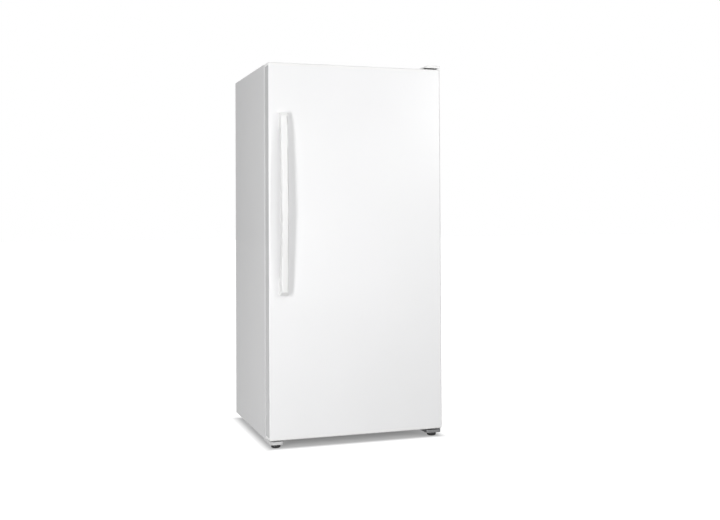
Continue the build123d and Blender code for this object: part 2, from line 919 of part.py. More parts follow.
save(compressor_tube(-1, suction_level, suction_radius), "suction_tube")
save(compressor_tube(1, discharge_level, discharge_radius), "discharge_tube")

with BuildPart() as filter_drier:
    drier_y = cabinet_back - drier_setback
    drier_low = machine_ceiling - sheet - drier_tube_length - drier_length
    drier = [
        (drier_tube_radius, 0),
        (drier_radius, drier_radius),
        (drier_radius, drier_length - drier_radius),
        (drier_tube_radius, drier_length),
        (drier_tube_radius, drier_length + drier_tube_length),
    ]
    add(turned(drier, (drier_offset, drier_y, drier_low), (0, 0, 1), sides=12))
save(filter_drier, "filter_drier")

with BuildPart() as drain_pan:
    pan_y = cabinet_back - pan_setback
    block(
        (pan_offset - pan_half_width, pan_y - pan_half_depth, tray_top),
        (pan_offset + pan_half_width, pan_y + pan_half_depth, tray_top + pan_height),
    )
    chamfer(drain_pan.edges().filter_by(Axis.Z), pan_corner)
    offset(amount=-pan_wall, openings=drain_pan.faces().sort_by(Axis.Z)[-1])
save(drain_pan, "drain_pan")

with BuildPart() as drain_tube:
    drain_start = (drain_x, drain_y, tray_top + pan_height - drain_dip)
    drain_length = step_top - drain_start[2]
    add(bar(drain_start, (0, 0, 1), drain_length, drain_radius, sides=16))
    add(bar(drain_start, (0, 0, 1), drain_length, drain_bore, sides=16), mode=Mode.SUBTRACT)
save(drain_tube, "drain_tube")

machine_cover_low = tray_top + panel_gap
machine_cover_high = machine_ceiling - panel_gap
machine_cover_reach = back_reach
cover_screw_x = machine_cover_reach - cover_screw_inset - rear_hem
cover_screw_points = [
    (x, z)
    for x in (-cover_screw_x, cover_screw_x)
    for z in (machine_cover_low + cover_screw_inset, machine_cover_high - cover_screw_inset)
]
gland_x = gland_inset - machine_cover_reach
gland_z = machine_cover_low + gland_height

with BuildPart() as machine_cover:
    block(
        (-machine_cover_reach, back_sheet, machine_cover_low),
        (machine_cover_reach, back_sheet + sheet, machine_cover_high),
    )
    with BuildSketch(Plane.XZ.offset(-back_sheet)):
        with Locations((0, (machine_cover_low + machine_cover_high) / 2)):
            Rectangle(2 * machine_cover_reach, machine_cover_high - machine_cover_low - 2 * sheet)
            Rectangle(
                2 * (machine_cover_reach - sheet),
                machine_cover_high - machine_cover_low - 4 * sheet,
                mode=Mode.SUBTRACT,
            )
    extrude(amount=cover_return)
    with BuildSketch(Plane.XZ.offset(-cabinet_back)):
        with Locations((0, (machine_cover_low + machine_cover_high) / 2)):
            with GridLocations(louvre_width + louvre_pitch, louvre_pitch, louvre_columns, louvre_rows):
                Rectangle(louvre_width, louvre_height)
    extrude(amount=3 * sheet, mode=Mode.SUBTRACT)
    for x, z in cover_screw_points:
        add(bar((x, back_sheet, z), (0, 1, 0), sheet, cover_screw_radius), mode=Mode.SUBTRACT)
    add(
        bar((gland_x, cabinet_back, gland_z), (0, -1, 0), 3 * sheet, gland_radius, sides=16),
        mode=Mode.SUBTRACT,
    )
save(machine_cover, "machine_cover")

with BuildPart() as machine_cover_screws:
    for x, z in cover_screw_points:
        seat = (x, back_sheet + sheet, z)
        add(hex_screw(seat, (0, -1, 0), cover_screw_radius, cover_return, cover_screw_head, sheet))
save(machine_cover_screws, "machine_cover_screws")

with BuildPart() as mains_gland:
    gland_face = (gland_x, cabinet_back, gland_z)
    add(bar(gland_face, (0, -1, 0), 3 * sheet, gland_radius, sides=16))
    add(bar(gland_face, (0, -1, 0), sheet, gland_radius + gland_flange, sides=16))
    add(bar(gland_face, (0, -1, 0), 3 * sheet, gland_bore, sides=16), mode=Mode.SUBTRACT)
save(mains_gland, "mains_gland")

# ================================================================ Inside the storage space


def wire_shelf(level):
    """A welded shelf: side and cross rails, wires laid on them and bent down at the front, and a lip rail."""
    half = cavity_half - shelf_side_gap
    lip_half = cavity_half - ledge_width - shelf_side_gap
    lip_low = level + rail_size - shelf_lip
    lip_back = shelf_y + wire_size
    wires = int((2 * lip_half - wire_size) // wire_pitch) + 1
    rail_boxes = [
        (
            (side * (half - rail_size / 2) - rail_size / 2, shelf_y, level),
            (side * (half - rail_size / 2) + rail_size / 2, shelf_back, level + rail_size),
        )
        for side in (-1, 1)
    ]
    rail_boxes += [
        ((rail_size - half, y, level), (half - rail_size, y + rail_size, level + rail_size))
        for y in evenly(lip_back, shelf_back - rail_size, shelf_rails)
    ]
    rail_boxes.append(((-lip_half, lip_back, lip_low), (lip_half, lip_back + rail_size, lip_low + rail_size)))
    solids = []
    for low, high in rail_boxes:
        with BuildPart() as rail:
            block(low, high)
        solids.append(rail.part.solid())
    for index in range(wires):
        x = (index - (wires - 1) / 2) * wire_pitch
        with BuildPart() as bent_wire:
            block(
                (x - wire_size / 2, shelf_y, level + rail_size),
                (x + wire_size / 2, shelf_back, level + rail_size + wire_size),
            )
            block(
                (x - wire_size / 2, shelf_y, lip_low),
                (x + wire_size / 2, lip_back, level + rail_size + wire_size),
            )
        solids.append(bent_wire.part.solid())
    return solids


for number, level in enumerate(shelf_levels, start=1):
    save_set(wire_shelf(level), f"shelf_{number}")

basket_half = cavity_half - basket_side_gap - basket_rim_width
basket_front = shelf_y
basket_rear = step_front - basket_back_gap
basket_depth = basket_rear - basket_front
basket_bottom = cavity_floor + basket_floor_gap


def cradle_outline(low, high, bottom, top):
    """The points of a U with cut corners, outside and inside the wire."""
    points = []
    for inset in (0.0, wire_size):
        corner = basket_corner - inset * 0.6
        points.append(
            [
                (low + inset, top),
                (low + inset, bottom + corner),
                (low + corner, bottom + inset),
                (high - corner, bottom + inset),
                (high - inset, bottom + corner),
                (high - inset, top),
            ]
        )
    return points[0] + points[1][::-1]


with BuildPart() as basket:
    long_wires = int((2 * basket_half - 4 * basket_corner) // basket_pitch) + 1
    cross_wires = int((basket_depth - 4 * basket_corner) // basket_pitch) + 1
    for index in range(long_wires):
        x = (index - (long_wires - 1) / 2) * basket_pitch
        with BuildSketch(Plane.YZ.offset(x)):
            with BuildLine():
                Polyline(
                    *cradle_outline(basket_front, basket_rear, basket_bottom, basket_rim_level), close=True
                )
            make_face()
        extrude(amount=wire_size / 2, both=True)
    for index in range(cross_wires):
        y = (basket_front + basket_rear) / 2 + (index - (cross_wires - 1) / 2) * basket_pitch
        with BuildSketch(Plane.XZ.offset(-y)):
            with BuildLine():
                Polyline(
                    *cradle_outline(-basket_half, basket_half, basket_bottom + wire_size, basket_rim_level),
                    close=True,
                )
            make_face()
        extrude(amount=wire_size / 2, both=True)
    basket_middle = (0, (basket_front + basket_rear) / 2)
    hoop_step = (basket_rim_level - basket_bottom) / (basket_hoops + 1)
    hoops = [(basket_bottom + hoop_step * (index + 1), wire_size, wire_size) for index in range(basket_hoops)]
    for level, band, height in [(basket_rim_level, basket_rim_width, basket_rim_height)] + hoops:
        with BuildSketch(Plane.XY.offset(level)):
            with Locations(basket_middle):
                Rectangle(2 * (basket_half + band), basket_depth + 2 * wire_size)
                Rectangle(2 * basket_half, basket_depth, mode=Mode.SUBTRACT)
        extrude(amount=height)
    with BuildSketch(Plane.XY.offset(basket_rim_level)):
        with Locations(basket_middle):
            Rectangle(2 * basket_half + wire_size, basket_depth + wire_size)
            Rectangle(2 * (basket_half - wire_size), basket_depth - 2 * wire_size, mode=Mode.SUBTRACT)
    extrude(amount=wire_size)

# The basket is welded up from five wire panels: left, right, front, rear and floor.
side_reach = basket_half - basket_corner
end_reach = basket_depth / 2 - basket_corner
basket_panels = []
for x_low, x_high, y_low, y_high in (
    (-half_width, -side_reach, -basket_depth, basket_depth),
    (side_reach, half_width, -basket_depth, basket_depth),
    (-side_reach, side_reach, -basket_depth, -end_reach),
    (-side_reach, side_reach, end_reach, basket_depth),
    (-side_reach, side_reach, -end_reach, end_reach),
):
    with BuildPart() as panel:
        add(basket.part)
        block(
            (x_low, basket_middle[1] + y_low, cabinet_bottom),
            (x_high, basket_middle[1] + y_high, step_top),
            mode=Mode.INTERSECT,
        )
    basket_panels += panel.solids()
save_set(basket_panels, "basket")

duct_half = cavity_half - duct_side_gap
duct_low = step_top + duct_side_gap / 2
fan_y = duct_front + duct_wall + fan_gap + fan_hub_length / 2

with BuildPart() as evaporator_cover:
    block((-duct_half, duct_front, duct_low), (duct_half, cavity_back, duct_top))
    fillet(evaporator_cover.edges().filter_by(Axis.X).sort_by(Axis.Y)[:2], 2 * duct_wall)
    block(
        (-duct_half + duct_wall, duct_front + duct_wall, duct_low + duct_wall),
        (duct_half - duct_wall, cavity_back, duct_top - duct_wall),
        mode=Mode.SUBTRACT,
    )
    with BuildSketch(Plane.XZ.offset(-duct_front - 2 * duct_wall)):
        with Locations((0, duct_top - vent_top_gap), (0, duct_low + vent_low_gap)):
            with GridLocations(vent_spacing, vent_pitch, vent_columns, vent_rows):
                Rectangle(vent_width, vent_height)
        with Locations((0, fan_level)):
            with GridLocations(0, grille_pitch, 1, grille_rows):
                Rectangle(grille_width, vent_height)
    extrude(amount=3 * duct_wall, mode=Mode.SUBTRACT)
    add(cavity(-panel_gap), mode=Mode.INTERSECT)
save(evaporator_cover, "evaporator_cover")

coil_front = duct_front + duct_wall + coil_gap
coil_middle = coil_front + coil_depth / 2

with BuildPart() as evaporator_coil:
    block(
        (-coil_half_width, coil_front, coil_bottom),
        (coil_half_width, coil_front + coil_depth, coil_bottom + coil_height),
    )
    for face_y in (coil_front, coil_front + coil_depth):
        with BuildSketch(Plane.XY.offset(coil_bottom)):
            with Locations((0, face_y)):
                with GridLocations(fin_pitch, 0, int(2 * coil_half_width // fin_pitch), 1):
                    Rectangle(fin_pitch - fin_thickness, coil_depth - coil_core)
        extrude(amount=coil_height, mode=Mode.SUBTRACT)
    for side in (-1, 1):
        inner, outer = sorted((side * coil_half_width, side * (coil_half_width + end_plate_thickness)))
        plate_top = coil_bottom + coil_height + coil_gap
        block((inner, coil_front, coil_bottom - coil_gap), (outer, cavity_back, plate_top))
        for share in (0.25, 0.75):
            bend_x = side * (coil_half_width + end_plate_thickness)
            bend_z = coil_bottom + share * coil_height
            reach = coil_bend_radius + coil_tube_radius
            for offset_z in (-coil_bend_radius, coil_bend_radius):
                leg_start = (bend_x, coil_middle, bend_z + offset_z)
                add(bar(leg_start, (side, 0, 0), reach, coil_tube_radius, sides=6))
            bend_start = (bend_x + side * coil_bend_radius, coil_middle, bend_z - reach)
            add(bar(bend_start, (0, 0, 1), 2 * reach, coil_tube_radius, sides=6))
save(evaporator_coil, "evaporator_coil")

with BuildPart() as fan_motor:
    motor = [
        (motor_radius, 0),
        (motor_radius, motor_length - motor_edge),
        (motor_radius - motor_edge, motor_length),
    ]
    add(turned(motor, (0, cavity_back, fan_level), (0, -1, 0), sides=24))
    rod((0, cavity_back, fan_level), (0, -1, 0), cavity_back - fan_y + fan_hub_length / 2, spindle_radius)
save(fan_motor, "fan_motor")

with BuildPart() as fan_blade:
    with Locations(Plane(origin=(0, fan_y, fan_level), z_dir=(0, -1, 0))):
        with PolarLocations(fan_radius / 2 + fan_hub_radius / 4, fan_blades):
            Box(fan_radius, blade_chord, blade_thickness, rotation=(blade_pitch, 0, 0))
    swept_outline = [(fan_radius, 0), (fan_radius, 2 * blade_chord)]
    swept = turned(swept_outline, (0, fan_y + blade_chord, fan_level), (0, -1, 0))
    add(swept, mode=Mode.INTERSECT)
    hub = [(fan_hub_radius, 0), (fan_hub_radius, fan_hub_length)]
    add(turned(hub, (0, fan_y + fan_hub_length / 2, fan_level), (0, -1, 0), sides=20))
    rod(
        (0, fan_y + blade_chord, fan_level),
        (0, -1, 0),
        2 * blade_chord,
        spindle_radius + spindle_clearance,
        mode=Mode.SUBTRACT,
    )
save(fan_blade, "fan_blade")

control_y = cabinet_front + control_front
control_low = cavity_ceiling - control_height
knob_z = cavity_ceiling - control_height / 2
lens_y = control_y + control_depth / 2

with BuildPart() as control_box:
    block(
        (-control_width / 2, control_y, control_low),
        (control_width / 2, control_y + control_depth, cavity_ceiling),
    )
    fillet(control_box.faces().sort_by(Axis.Z)[0].edges(), control_radius)
    block(
        (-control_width / 2 + control_wall, control_y + control_wall, control_low + control_wall),
        (control_width / 2 - control_wall, control_y + control_depth - control_wall, cavity_ceiling),
        mode=Mode.SUBTRACT,
    )
    block(
        (lens_offset - lens_width / 2, lens_y - lens_depth / 2, control_low),
        (lens_offset + lens_width / 2, lens_y + lens_depth / 2, control_low + control_wall),
        mode=Mode.SUBTRACT,
    )
    rod(
        (knob_offset, control_y, knob_z),
        (0, 1, 0),
        control_wall,
        knob_shaft_radius + knob_clearance,
        mode=Mode.SUBTRACT,
    )
save(control_box, "control_box")

with BuildPart() as lamp_lens:
    lens_left, lens_right = lens_offset - lens_width / 2, lens_offset + lens_width / 2
    lens_near, lens_far = lens_y - lens_depth / 2, lens_y + lens_depth / 2
    block((lens_left, lens_near, control_low - lens_drop), (lens_right, lens_far, control_low + control_wall))
    chamfer(lamp_lens.faces().sort_by(Axis.Z)[0].edges(), lens_edge)
    block(
        (lens_left - lens_flange, lens_near - lens_flange, control_low + control_wall),
        (lens_right + lens_flange, lens_far + lens_flange, control_low + 2 * control_wall),
    )
save(lamp_lens, "lamp_lens")

with BuildPart() as control_knob:
    knob_face = control_y - knob_gap
    skirt = knob_length / 3
    add(turned([(knob_radius, 0), (knob_radius, skirt)], (knob_offset, knob_face, knob_z), (0, -1, 0)))
    grip = [(knob_grip_radius, skirt), (knob_grip_radius, knob_length)]
    add(turned(grip, (knob_offset, knob_face, knob_z), (0, -1, 0), sides=16))
    block(
        (knob_offset - knob_ridge / 2, knob_face - knob_length, knob_z),
        (knob_offset + knob_ridge / 2, knob_face - skirt, knob_z + knob_radius),
    )
    rod((knob_offset, knob_face, knob_z), (0, 1, 0), knob_gap + 3 * control_wall, knob_shaft_radius)
save(control_knob, "control_knob")

button_front = door_back + slide_gap

with BuildPart() as light_switch_body:
    block(switch_low, switch_high)
    block(
        (switch_low[0] + liner_wall, cabinet_front + sheet, switch_low[2] + liner_wall),
        (switch_high[0] - liner_wall, switch_front, switch_high[2] - liner_wall),
    )
    button_room = button_tail + 2 * button_travel + sheet
    button_hole = [(button_radius + button_clearance, 0), (button_radius + button_clearance, button_room)]
    plunger_space = turned(button_hole, (switch_offset, cabinet_front, switch_z), (0, 1, 0), sides=12)
    add(plunger_space, mode=Mode.SUBTRACT)
save(light_switch_body, "light_switch_body")

with BuildPart() as light_switch_button:
    plunger = [
        (button_radius - button_edge, 0),
        (button_radius, button_edge),
        (button_radius, cabinet_front - button_front + button_tail),
    ]
    add(turned(plunger, (switch_offset, button_front, switch_z), (0, 1, 0), sides=12))
save(light_switch_button, "light_switch_button")

# ================================================================ Door

handle_x = -half_width + handle_inset
handle_screw_levels = (handle_bottom + handle_post / 2, handle_top - handle_post / 2)


def door_slab(inset, low, high):
    """A slab with the door's plan, drawn in by a wall at the front and sides."""
    with BuildPart() as slab:
        block((-half_width + inset, door_front + inset, low), (half_width - inset, skin_back, high))
        fillet(slab.edges().filter_by(Axis.Z).sort_by(Axis.Y)[:2], door_bend_radius - inset)
    return slab


with BuildPart() as door_skin:
    with BuildSketch(Plane.XY.offset(door_bottom + cap_height)):
        with BuildLine():
            FilletPolyline(
                (-half_width + door_hem, skin_back),
                (-half_width, skin_back),
                (-half_width, door_front),
                (half_width, door_front),
                (half_width, skin_back),
                (half_width - door_hem, skin_back),
                radius=[hem_bend_radius, door_bend_radius, door_bend_radius, hem_bend_radius],
            )
            offset(amount=sheet, side=Side.LEFT)
        make_face()
    extrude(amount=door_top - door_bottom - 2 * cap_height)
    for z in handle_screw_levels:
        add(bar((handle_x, door_front, z), (0, 1, 0), sheet, handle_screw_radius), mode=Mode.SUBTRACT)
save(door_skin, "door_skin")


def door_cap(outer_z, inward):
    """A moulded end cap: rounded outside, hollow inside, with a seat for the hinge bush."""
    low, high = sorted((outer_z, outer_z + inward * cap_height))
    with BuildPart() as cap:
        add(door_slab(0, low, high).part)
        rim = cap.faces().sort_by(Axis.Z)[-1 if inward < 0 else 0].edges()
        chamfer(rim.sort_by(Axis.Y)[:-1], cap_rounding / 2)
        inner_low, inner_high = sorted((outer_z + inward * cap_wall, outer_z + inward * cap_height))
        add(door_slab(cap_wall, inner_low, inner_high).part, mode=Mode.SUBTRACT)
        bush_room = bar((hinge_x, hinge_y, outer_z), (0, 0, inward), cap_height, bush_radius, sides=16)
        add(bush_room, mode=Mode.SUBTRACT)
    return cap


save(door_cap(door_top, -1), "door_top_cap")
save(door_cap(door_bottom, 1), "door_bottom_cap")

with BuildPart() as door_insulation:
    add(door_slab(sheet, door_bottom + cap_height, door_top - cap_height).part)
    for side in (-1, 1):
        inner, outer = sorted((side * (half_width - door_hem), side * half_width))
        block((inner, skin_back - sheet, door_bottom), (outer, skin_back, door_top), mode=Mode.SUBTRACT)
        inner, outer = sorted((side * (half_width - hem_bend_radius), side * half_width))
        bend_low = skin_back - hem_bend_radius
        block((inner, bend_low, door_bottom), (outer, skin_back, door_top), mode=Mode.SUBTRACT)
    add(door_slab(cap_wall, door_bottom + cap_wall, door_bottom + cap_height).part)
    add(door_slab(cap_wall, door_top - cap_height, door_top - cap_wall).part)
    for outer_z, inward in ((door_bottom, 1), (door_top, -1)):
        bush_room = bar((hinge_x, hinge_y, outer_z), (0, 0, inward), bush_length, bush_radius, sides=16)
        add(bush_room, mode=Mode.SUBTRACT)
    for z in handle_screw_levels:
        seat = (handle_x, door_front + sheet, z)
        add(bar(seat, (0, 1, 0), screw_head_height, 2 * handle_screw_radius, sides=6), mode=Mode.SUBTRACT)
save(door_insulation, "door_insulation")

with BuildPart() as hinge_bushes:
    for outer_z, inward in ((door_bottom, 1), (door_top, -1)):
        add(bar((hinge_x, hinge_y, outer_z), (0, 0, inward), bush_length, bush_radius, sides=16))
        add(bar((hinge_x, hinge_y, outer_z), (0, 0, -inward), bush_flange, bush_flange_radius, sides=16))
        rod(
            (hinge_x, hinge_y, outer_z - inward * bush_flange),
            (0, 0, inward),
            bush_length + 2 * bush_flange,
            pin_radius + pin_clearance,
            mode=Mode.SUBTRACT,
        )
save(hinge_bushes, "hinge_bushes")

column_outer = cavity_half - column_clearance
column_inner = column_outer - column_width
bin_half = column_inner - bin_side_gap

liner_pieces = []
with BuildPart() as liner_face:
    block(
        (-half_width + sheet, skin_back, door_bottom + sheet),
        (half_width - sheet, door_back, door_top - sheet),
    )
liner_pieces.append(liner_face.part.solid())

# The bin columns, moulded as hollow boxes on the door's inner face, each with a lug under every bin.
for side in (-1, 1):
    with BuildPart() as column:
        inner, outer = sorted((side * column_inner, side * column_outer))
        block((inner, door_back, column_bottom), (outer, door_back + column_depth, column_top))
        fillet(column.faces().sort_by(Axis.Y)[-1].edges(), column_radius)
        inner, outer = sorted((side * (column_inner + liner_wall), side * (column_outer - liner_wall)))
        block(
            (inner, door_back, column_bottom + liner_wall),
            (outer, door_back + column_depth - column_radius / 2, column_top - liner_wall),
            mode=Mode.SUBTRACT,
        )
        for level in bin_levels:
            inner, outer = sorted((side * (bin_half - lug_reach), side * (column_inner + liner_wall / 2)))
            block((inner, door_back, level - lug_height), (outer, door_back + lug_depth, level))
    liner_pieces.append(column.part.solid())
save_set(liner_pieces, "door_liner")

gasket_depth_free = gasket_depth - gasket_gap
gasket_middle = (door_bottom + door_top) / 2
gasket_strips = []


def gasket_strip(half_length, half_across, turn):
    """One mitred strip of the seal: a wide foot, a waist and a face that meets the cabinet's flange."""
    with BuildPart() as strip:
        for share_low, share_high, trim in ((0, 0.3, 0), (0.3, 0.55, 0.3), (0.55, 1, 0.15)):
            cut = trim * gasket_width
            outer, inner = half_across - cut, half_across - gasket_width + cut
            with BuildSketch(Plane.XZ.offset(-door_back - share_low * gasket_depth_free)):
                with Locations((0, gasket_middle)):
                    with BuildSketch(mode=Mode.PRIVATE) as face:
                        with BuildLine():
                            Polyline(
                                (cut - half_length, outer),
                                (half_length - cut, outer),
                                (half_length - gasket_width + cut, inner),
                                (gasket_width - cut - half_length, inner),
                                close=True,
                            )
                        make_face()
                    add(face.sketch, rotation=turn)
            extrude(amount=-(share_high - share_low) * gasket_depth_free)
    return strip.part.solid()


gasket_half_width = half_width - gasket_inset
gasket_half_height = (door_top - door_bottom) / 2 - gasket_inset
for turn in (0, 180):
    gasket_strips.append(gasket_strip(gasket_half_width, gasket_half_height, turn))
for turn in (90, 270):
    gasket_strips.append(gasket_strip(gasket_half_height, gasket_half_width, turn))
save_set(gasket_strips, "door_gasket")


def door_bin(level):
    """A moulded open bin that sits on two lugs between the columns."""
    with BuildPart() as piece:
        block((-bin_half, door_back, level), (bin_half, door_back + bin_depth, level + bin_height))
        fillet(piece.edges().filter_by(Axis.Z).sort_by(Axis.Y)[-2:], bin_radius)
        with BuildSketch(Plane.XY.offset(level + bin_wall)):
            with Locations((0, door_back + bin_depth / 2)):
                RectangleRounded(2 * (bin_half - bin_wall), bin_depth - 2 * bin_wall, bin_radius - bin_wall)
        extrude(amount=bin_height, mode=Mode.SUBTRACT)
        with BuildSketch(Plane.XY.offset(level + bin_height - bin_rim)):
            with Locations((0, door_back + bin_depth / 2)):
                RectangleRounded(2 * (bin_half - bin_wall / 2), bin_depth - bin_wall, bin_radius - bin_wall)
                RectangleRounded(
                    2 * (bin_half - bin_wall - bin_rim),
                    bin_depth - 2 * bin_wall - 2 * bin_rim,
                    bin_radius - bin_wall - bin_rim,
                    mode=Mode.SUBTRACT,
                )
        extrude(amount=bin_rim)
    return piece


for number, level in enumerate(bin_levels, start=1):
    save(door_bin(level), f"door_bin_{number}")

handle_middle = (handle_bottom + handle_top) / 2
with BuildPart() as door_handle:
    with BuildSketch(Plane.YZ.offset(handle_x)):
        with BuildLine():
            end_y = door_front - handle_end_reach
            bow_y = door_front - handle_reach
            Polyline(
                (end_y, handle_bottom + handle_end_radius),
                (end_y + handle_end_radius, handle_bottom),
                (door_front, handle_bottom),
                (door_front, handle_bottom + handle_post),
                (end_y + handle_bar, handle_bottom + handle_post + handle_end_radius),
            )
            ThreePointArc(
                (end_y + handle_bar, handle_bottom + handle_post + handle_end_radius),
                (bow_y + handle_bar, handle_middle),
                (end_y + handle_bar, handle_top - handle_post - handle_end_radius),
            )
            Polyline(
                (end_y + handle_bar, handle_top - handle_post - handle_end_radius),
                (door_front, handle_top - handle_post),
                (door_front, handle_top),
                (end_y + handle_end_radius, handle_top),
                (end_y, handle_top - handle_end_radius),
            )
            ThreePointArc(
                (end_y, handle_top - handle_end_radius),
                (bow_y, handle_middle),
                (end_y, handle_bottom + handle_end_radius),
            )
        make_face()
    extrude(amount=handle_width / 2, both=True)
    fillet(door_handle.faces().sort_by(Axis.Y)[0].edges(), handle_rounding)
    for z in handle_screw_levels:
        thread = bar((handle_x, door_front, z), (0, -1, 0), handle_screw_length, handle_screw_radius)
        add(thread, mode=Mode.SUBTRACT)
save(door_handle, "door_handle")

with BuildPart() as handle_screws:
    for z in handle_screw_levels:
        add(
            hex_screw(
                (handle_x, door_front + sheet, z),
                (0, -1, 0),
                handle_screw_radius,
                handle_screw_length + sheet,
                2 * handle_screw_radius,
                screw_head_height,
            )
        )
save(handle_screws, "handle_screws")
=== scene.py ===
"""Looks for an upright freezer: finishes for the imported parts, round wires, turned pieces and a studio."""

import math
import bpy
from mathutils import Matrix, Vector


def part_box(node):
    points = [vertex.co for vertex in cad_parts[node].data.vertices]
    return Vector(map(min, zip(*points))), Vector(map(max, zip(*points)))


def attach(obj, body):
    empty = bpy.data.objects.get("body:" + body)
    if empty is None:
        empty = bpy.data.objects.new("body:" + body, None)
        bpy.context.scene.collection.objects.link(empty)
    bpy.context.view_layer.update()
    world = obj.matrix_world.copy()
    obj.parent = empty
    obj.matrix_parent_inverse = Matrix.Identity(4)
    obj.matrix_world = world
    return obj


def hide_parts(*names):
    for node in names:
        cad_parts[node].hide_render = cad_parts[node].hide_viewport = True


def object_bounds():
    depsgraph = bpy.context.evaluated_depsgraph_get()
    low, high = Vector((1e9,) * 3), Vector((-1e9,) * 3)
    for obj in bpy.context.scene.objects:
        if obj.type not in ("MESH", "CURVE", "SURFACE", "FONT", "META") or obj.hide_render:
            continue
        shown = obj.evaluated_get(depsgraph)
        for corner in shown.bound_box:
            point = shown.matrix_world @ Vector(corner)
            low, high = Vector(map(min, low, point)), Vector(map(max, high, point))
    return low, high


bl_info = {
    "name": "Upright Freezer Looks",
    "version": (1, 0, 0),
    "blender": (4, 5, 0),
    "location": "3D Viewport > Sidebar > Freezer",
    "description": "Dresses the packed freezer with finishes, wire shelves, basket, seal and turned pieces",
    "category": "Object",
}

import bmesh
import bpy
from bpy.props import FloatProperty, FloatVectorProperty, IntProperty, PointerProperty
from bpy.types import Operator, Panel, PropertyGroup
from mathutils import Vector

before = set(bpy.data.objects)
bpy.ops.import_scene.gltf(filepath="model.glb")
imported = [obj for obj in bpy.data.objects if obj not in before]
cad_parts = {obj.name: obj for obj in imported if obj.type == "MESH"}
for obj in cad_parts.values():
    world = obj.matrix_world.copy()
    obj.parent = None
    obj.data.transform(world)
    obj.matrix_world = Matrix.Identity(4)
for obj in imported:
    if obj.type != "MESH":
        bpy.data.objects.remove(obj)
CAD_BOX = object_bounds()


# ---------------------------------------------------------------- settings


def colour(name, description, default):
    return FloatVectorProperty(
        name=name, description=description, default=default, subtype="COLOR", size=3, min=0.0, max=1.0
    )


def length(name, description, default):
    return FloatProperty(name=name, description=description, default=default, unit="LENGTH", min=0.0)


def power(name, description, default):
    return FloatProperty(name=name, description=description, default=default, unit="POWER", min=0.0)


class FreezerColours(PropertyGroup):
    """The finishes' base colours."""

    door: colour("Door enamel", "Painted steel of the door", (0.885, 0.885, 0.89))
    # Painted shade: a darker tone for the door's left and right faces.
    door_side_shade: colour("Door side", "Greyer enamel on the door's folded sides", (0.37, 0.37, 0.38))
    cabinet: colour("Cabinet enamel", "Painted steel of the sides and top", (0.72, 0.72, 0.725))
    moulding: colour("White moulding", "Handle, door caps and hinge cover", (0.89, 0.89, 0.885))
    liner: colour("Liner", "Vacuum formed sheet inside", (0.8, 0.81, 0.815))
    galvanised: colour("Galvanised steel", "Back, underside and covers", (0.56, 0.57, 0.58))
    plated: colour("Plated steel", "Screws and bolts", (0.42, 0.42, 0.43))
    hinge: colour("Hinge steel", "Upper leaf and lower bracket", (0.2, 0.2, 0.205))
    bracket: colour("Bracket enamel", "Front bracket on the handle side", (0.62, 0.62, 0.62))
    wire: colour("Wire coating", "Shelves and basket", (0.82, 0.82, 0.82))
    seal: colour("Seal", "Soft vinyl door seal", (0.6, 0.6, 0.61))
    dark: colour("Dark moulding", "Feet, rollers and compartment parts", (0.013, 0.013, 0.014))
    small: colour("Grey moulding", "Knob, switch, fan and bushes", (0.42, 0.43, 0.44))
    foam: colour("Foam", "Rigid insulation", (0.78, 0.66, 0.42))
    bin: colour("Door bin", "Translucent moulded plastic", (0.93, 0.945, 0.955))
    lens: colour("Lamp lens", "Frosted plastic over the lamp", (0.9, 0.9, 0.88))
    copper: colour("Copper", "Refrigerant tubes", (0.75, 0.38, 0.22))
    aluminium: colour("Aluminium", "Evaporator coil and fins", (0.72, 0.73, 0.74))
    compressor: colour("Compressor enamel", "Black baked enamel", (0.018, 0.018, 0.018))


class FreezerWires(PropertyGroup):
    """Sizes of the coated wires."""

    shelf_wire: length("Shelf wire", "Diameter of the shelf's front to back wires", 0.0036)
    shelf_frame: length("Shelf frame", "Diameter of the shelf's frame and cross rails", 0.005)
    shelf_pitch: length("Shelf pitch", "Space between the shelf's wires", 0.028)
    basket_wire: length("Basket wire", "Diameter of the basket's wires", 0.0034)
    basket_pitch: length("Basket pitch", "Space between the basket's wires", 0.037)
    sides: IntProperty(name="Sides", description="Facets around a wire", default=8, min=4, max=24)


class FreezerStage(PropertyGroup):
    """Lamps, world, floor and lens."""

    key: power("Key lamp", "Lamp at the front left", 66.0)
    fill: power("Fill lamp", "Lamp at the front right", 42.0)
    front: power("Front lamp", "Lamp that faces the door", 58.0)
    top: power("Top lamp", "Lamp above the front edge", 9.0)
    ambient: FloatProperty(name="Ambient", description="World light on the object", default=0.38, min=0.0)
    # Painted shadow: the floor's glow is lower in this band along the footprint's edge.
    painted_shadow_width: length("Halo", "Width of the contact shadow's band along the footprint's edge", 0.27)
    focal: FloatProperty(
        name="Focal length", description="Camera lens in millimetres", default=49.13, unit="CAMERA", min=1.0
    )


# ---------------------------------------------------------------- materials

# Sockets of the mix node when it mixes colours.
MIX_FACTOR, MIX_FIRST, MIX_SECOND, MIX_RESULT = 0, 6, 7, 2

# Tones that age the enamel: where it has gone dull, and where dust lies.
CHALK = (0.8, 0.8, 0.8)
DUST = (0.7, 0.7, 0.69)


class Value:
    """A shader output with arithmetic: an expression on values adds its Math nodes."""

    def __init__(self, finish, output):
        self.finish, self.output = finish, output

    def join(self, operation, *inputs):
        return self.finish.node("ShaderNodeMath", {"operation": operation}, *inputs)

    def __add__(self, other):
        return self.join("ADD", self, other)

    __radd__ = __add__

    def __sub__(self, other):
        return self.join("SUBTRACT", self, other)

    def __rsub__(self, other):
        return self.join("SUBTRACT", other, self)

    def __mul__(self, other):
        return self.join("MULTIPLY", self, other)

    __rmul__ = __mul__

    def __abs__(self):
        return self.join("ABSOLUTE", self)

    def most(self, other):
        return self.join("MAXIMUM", self, other)


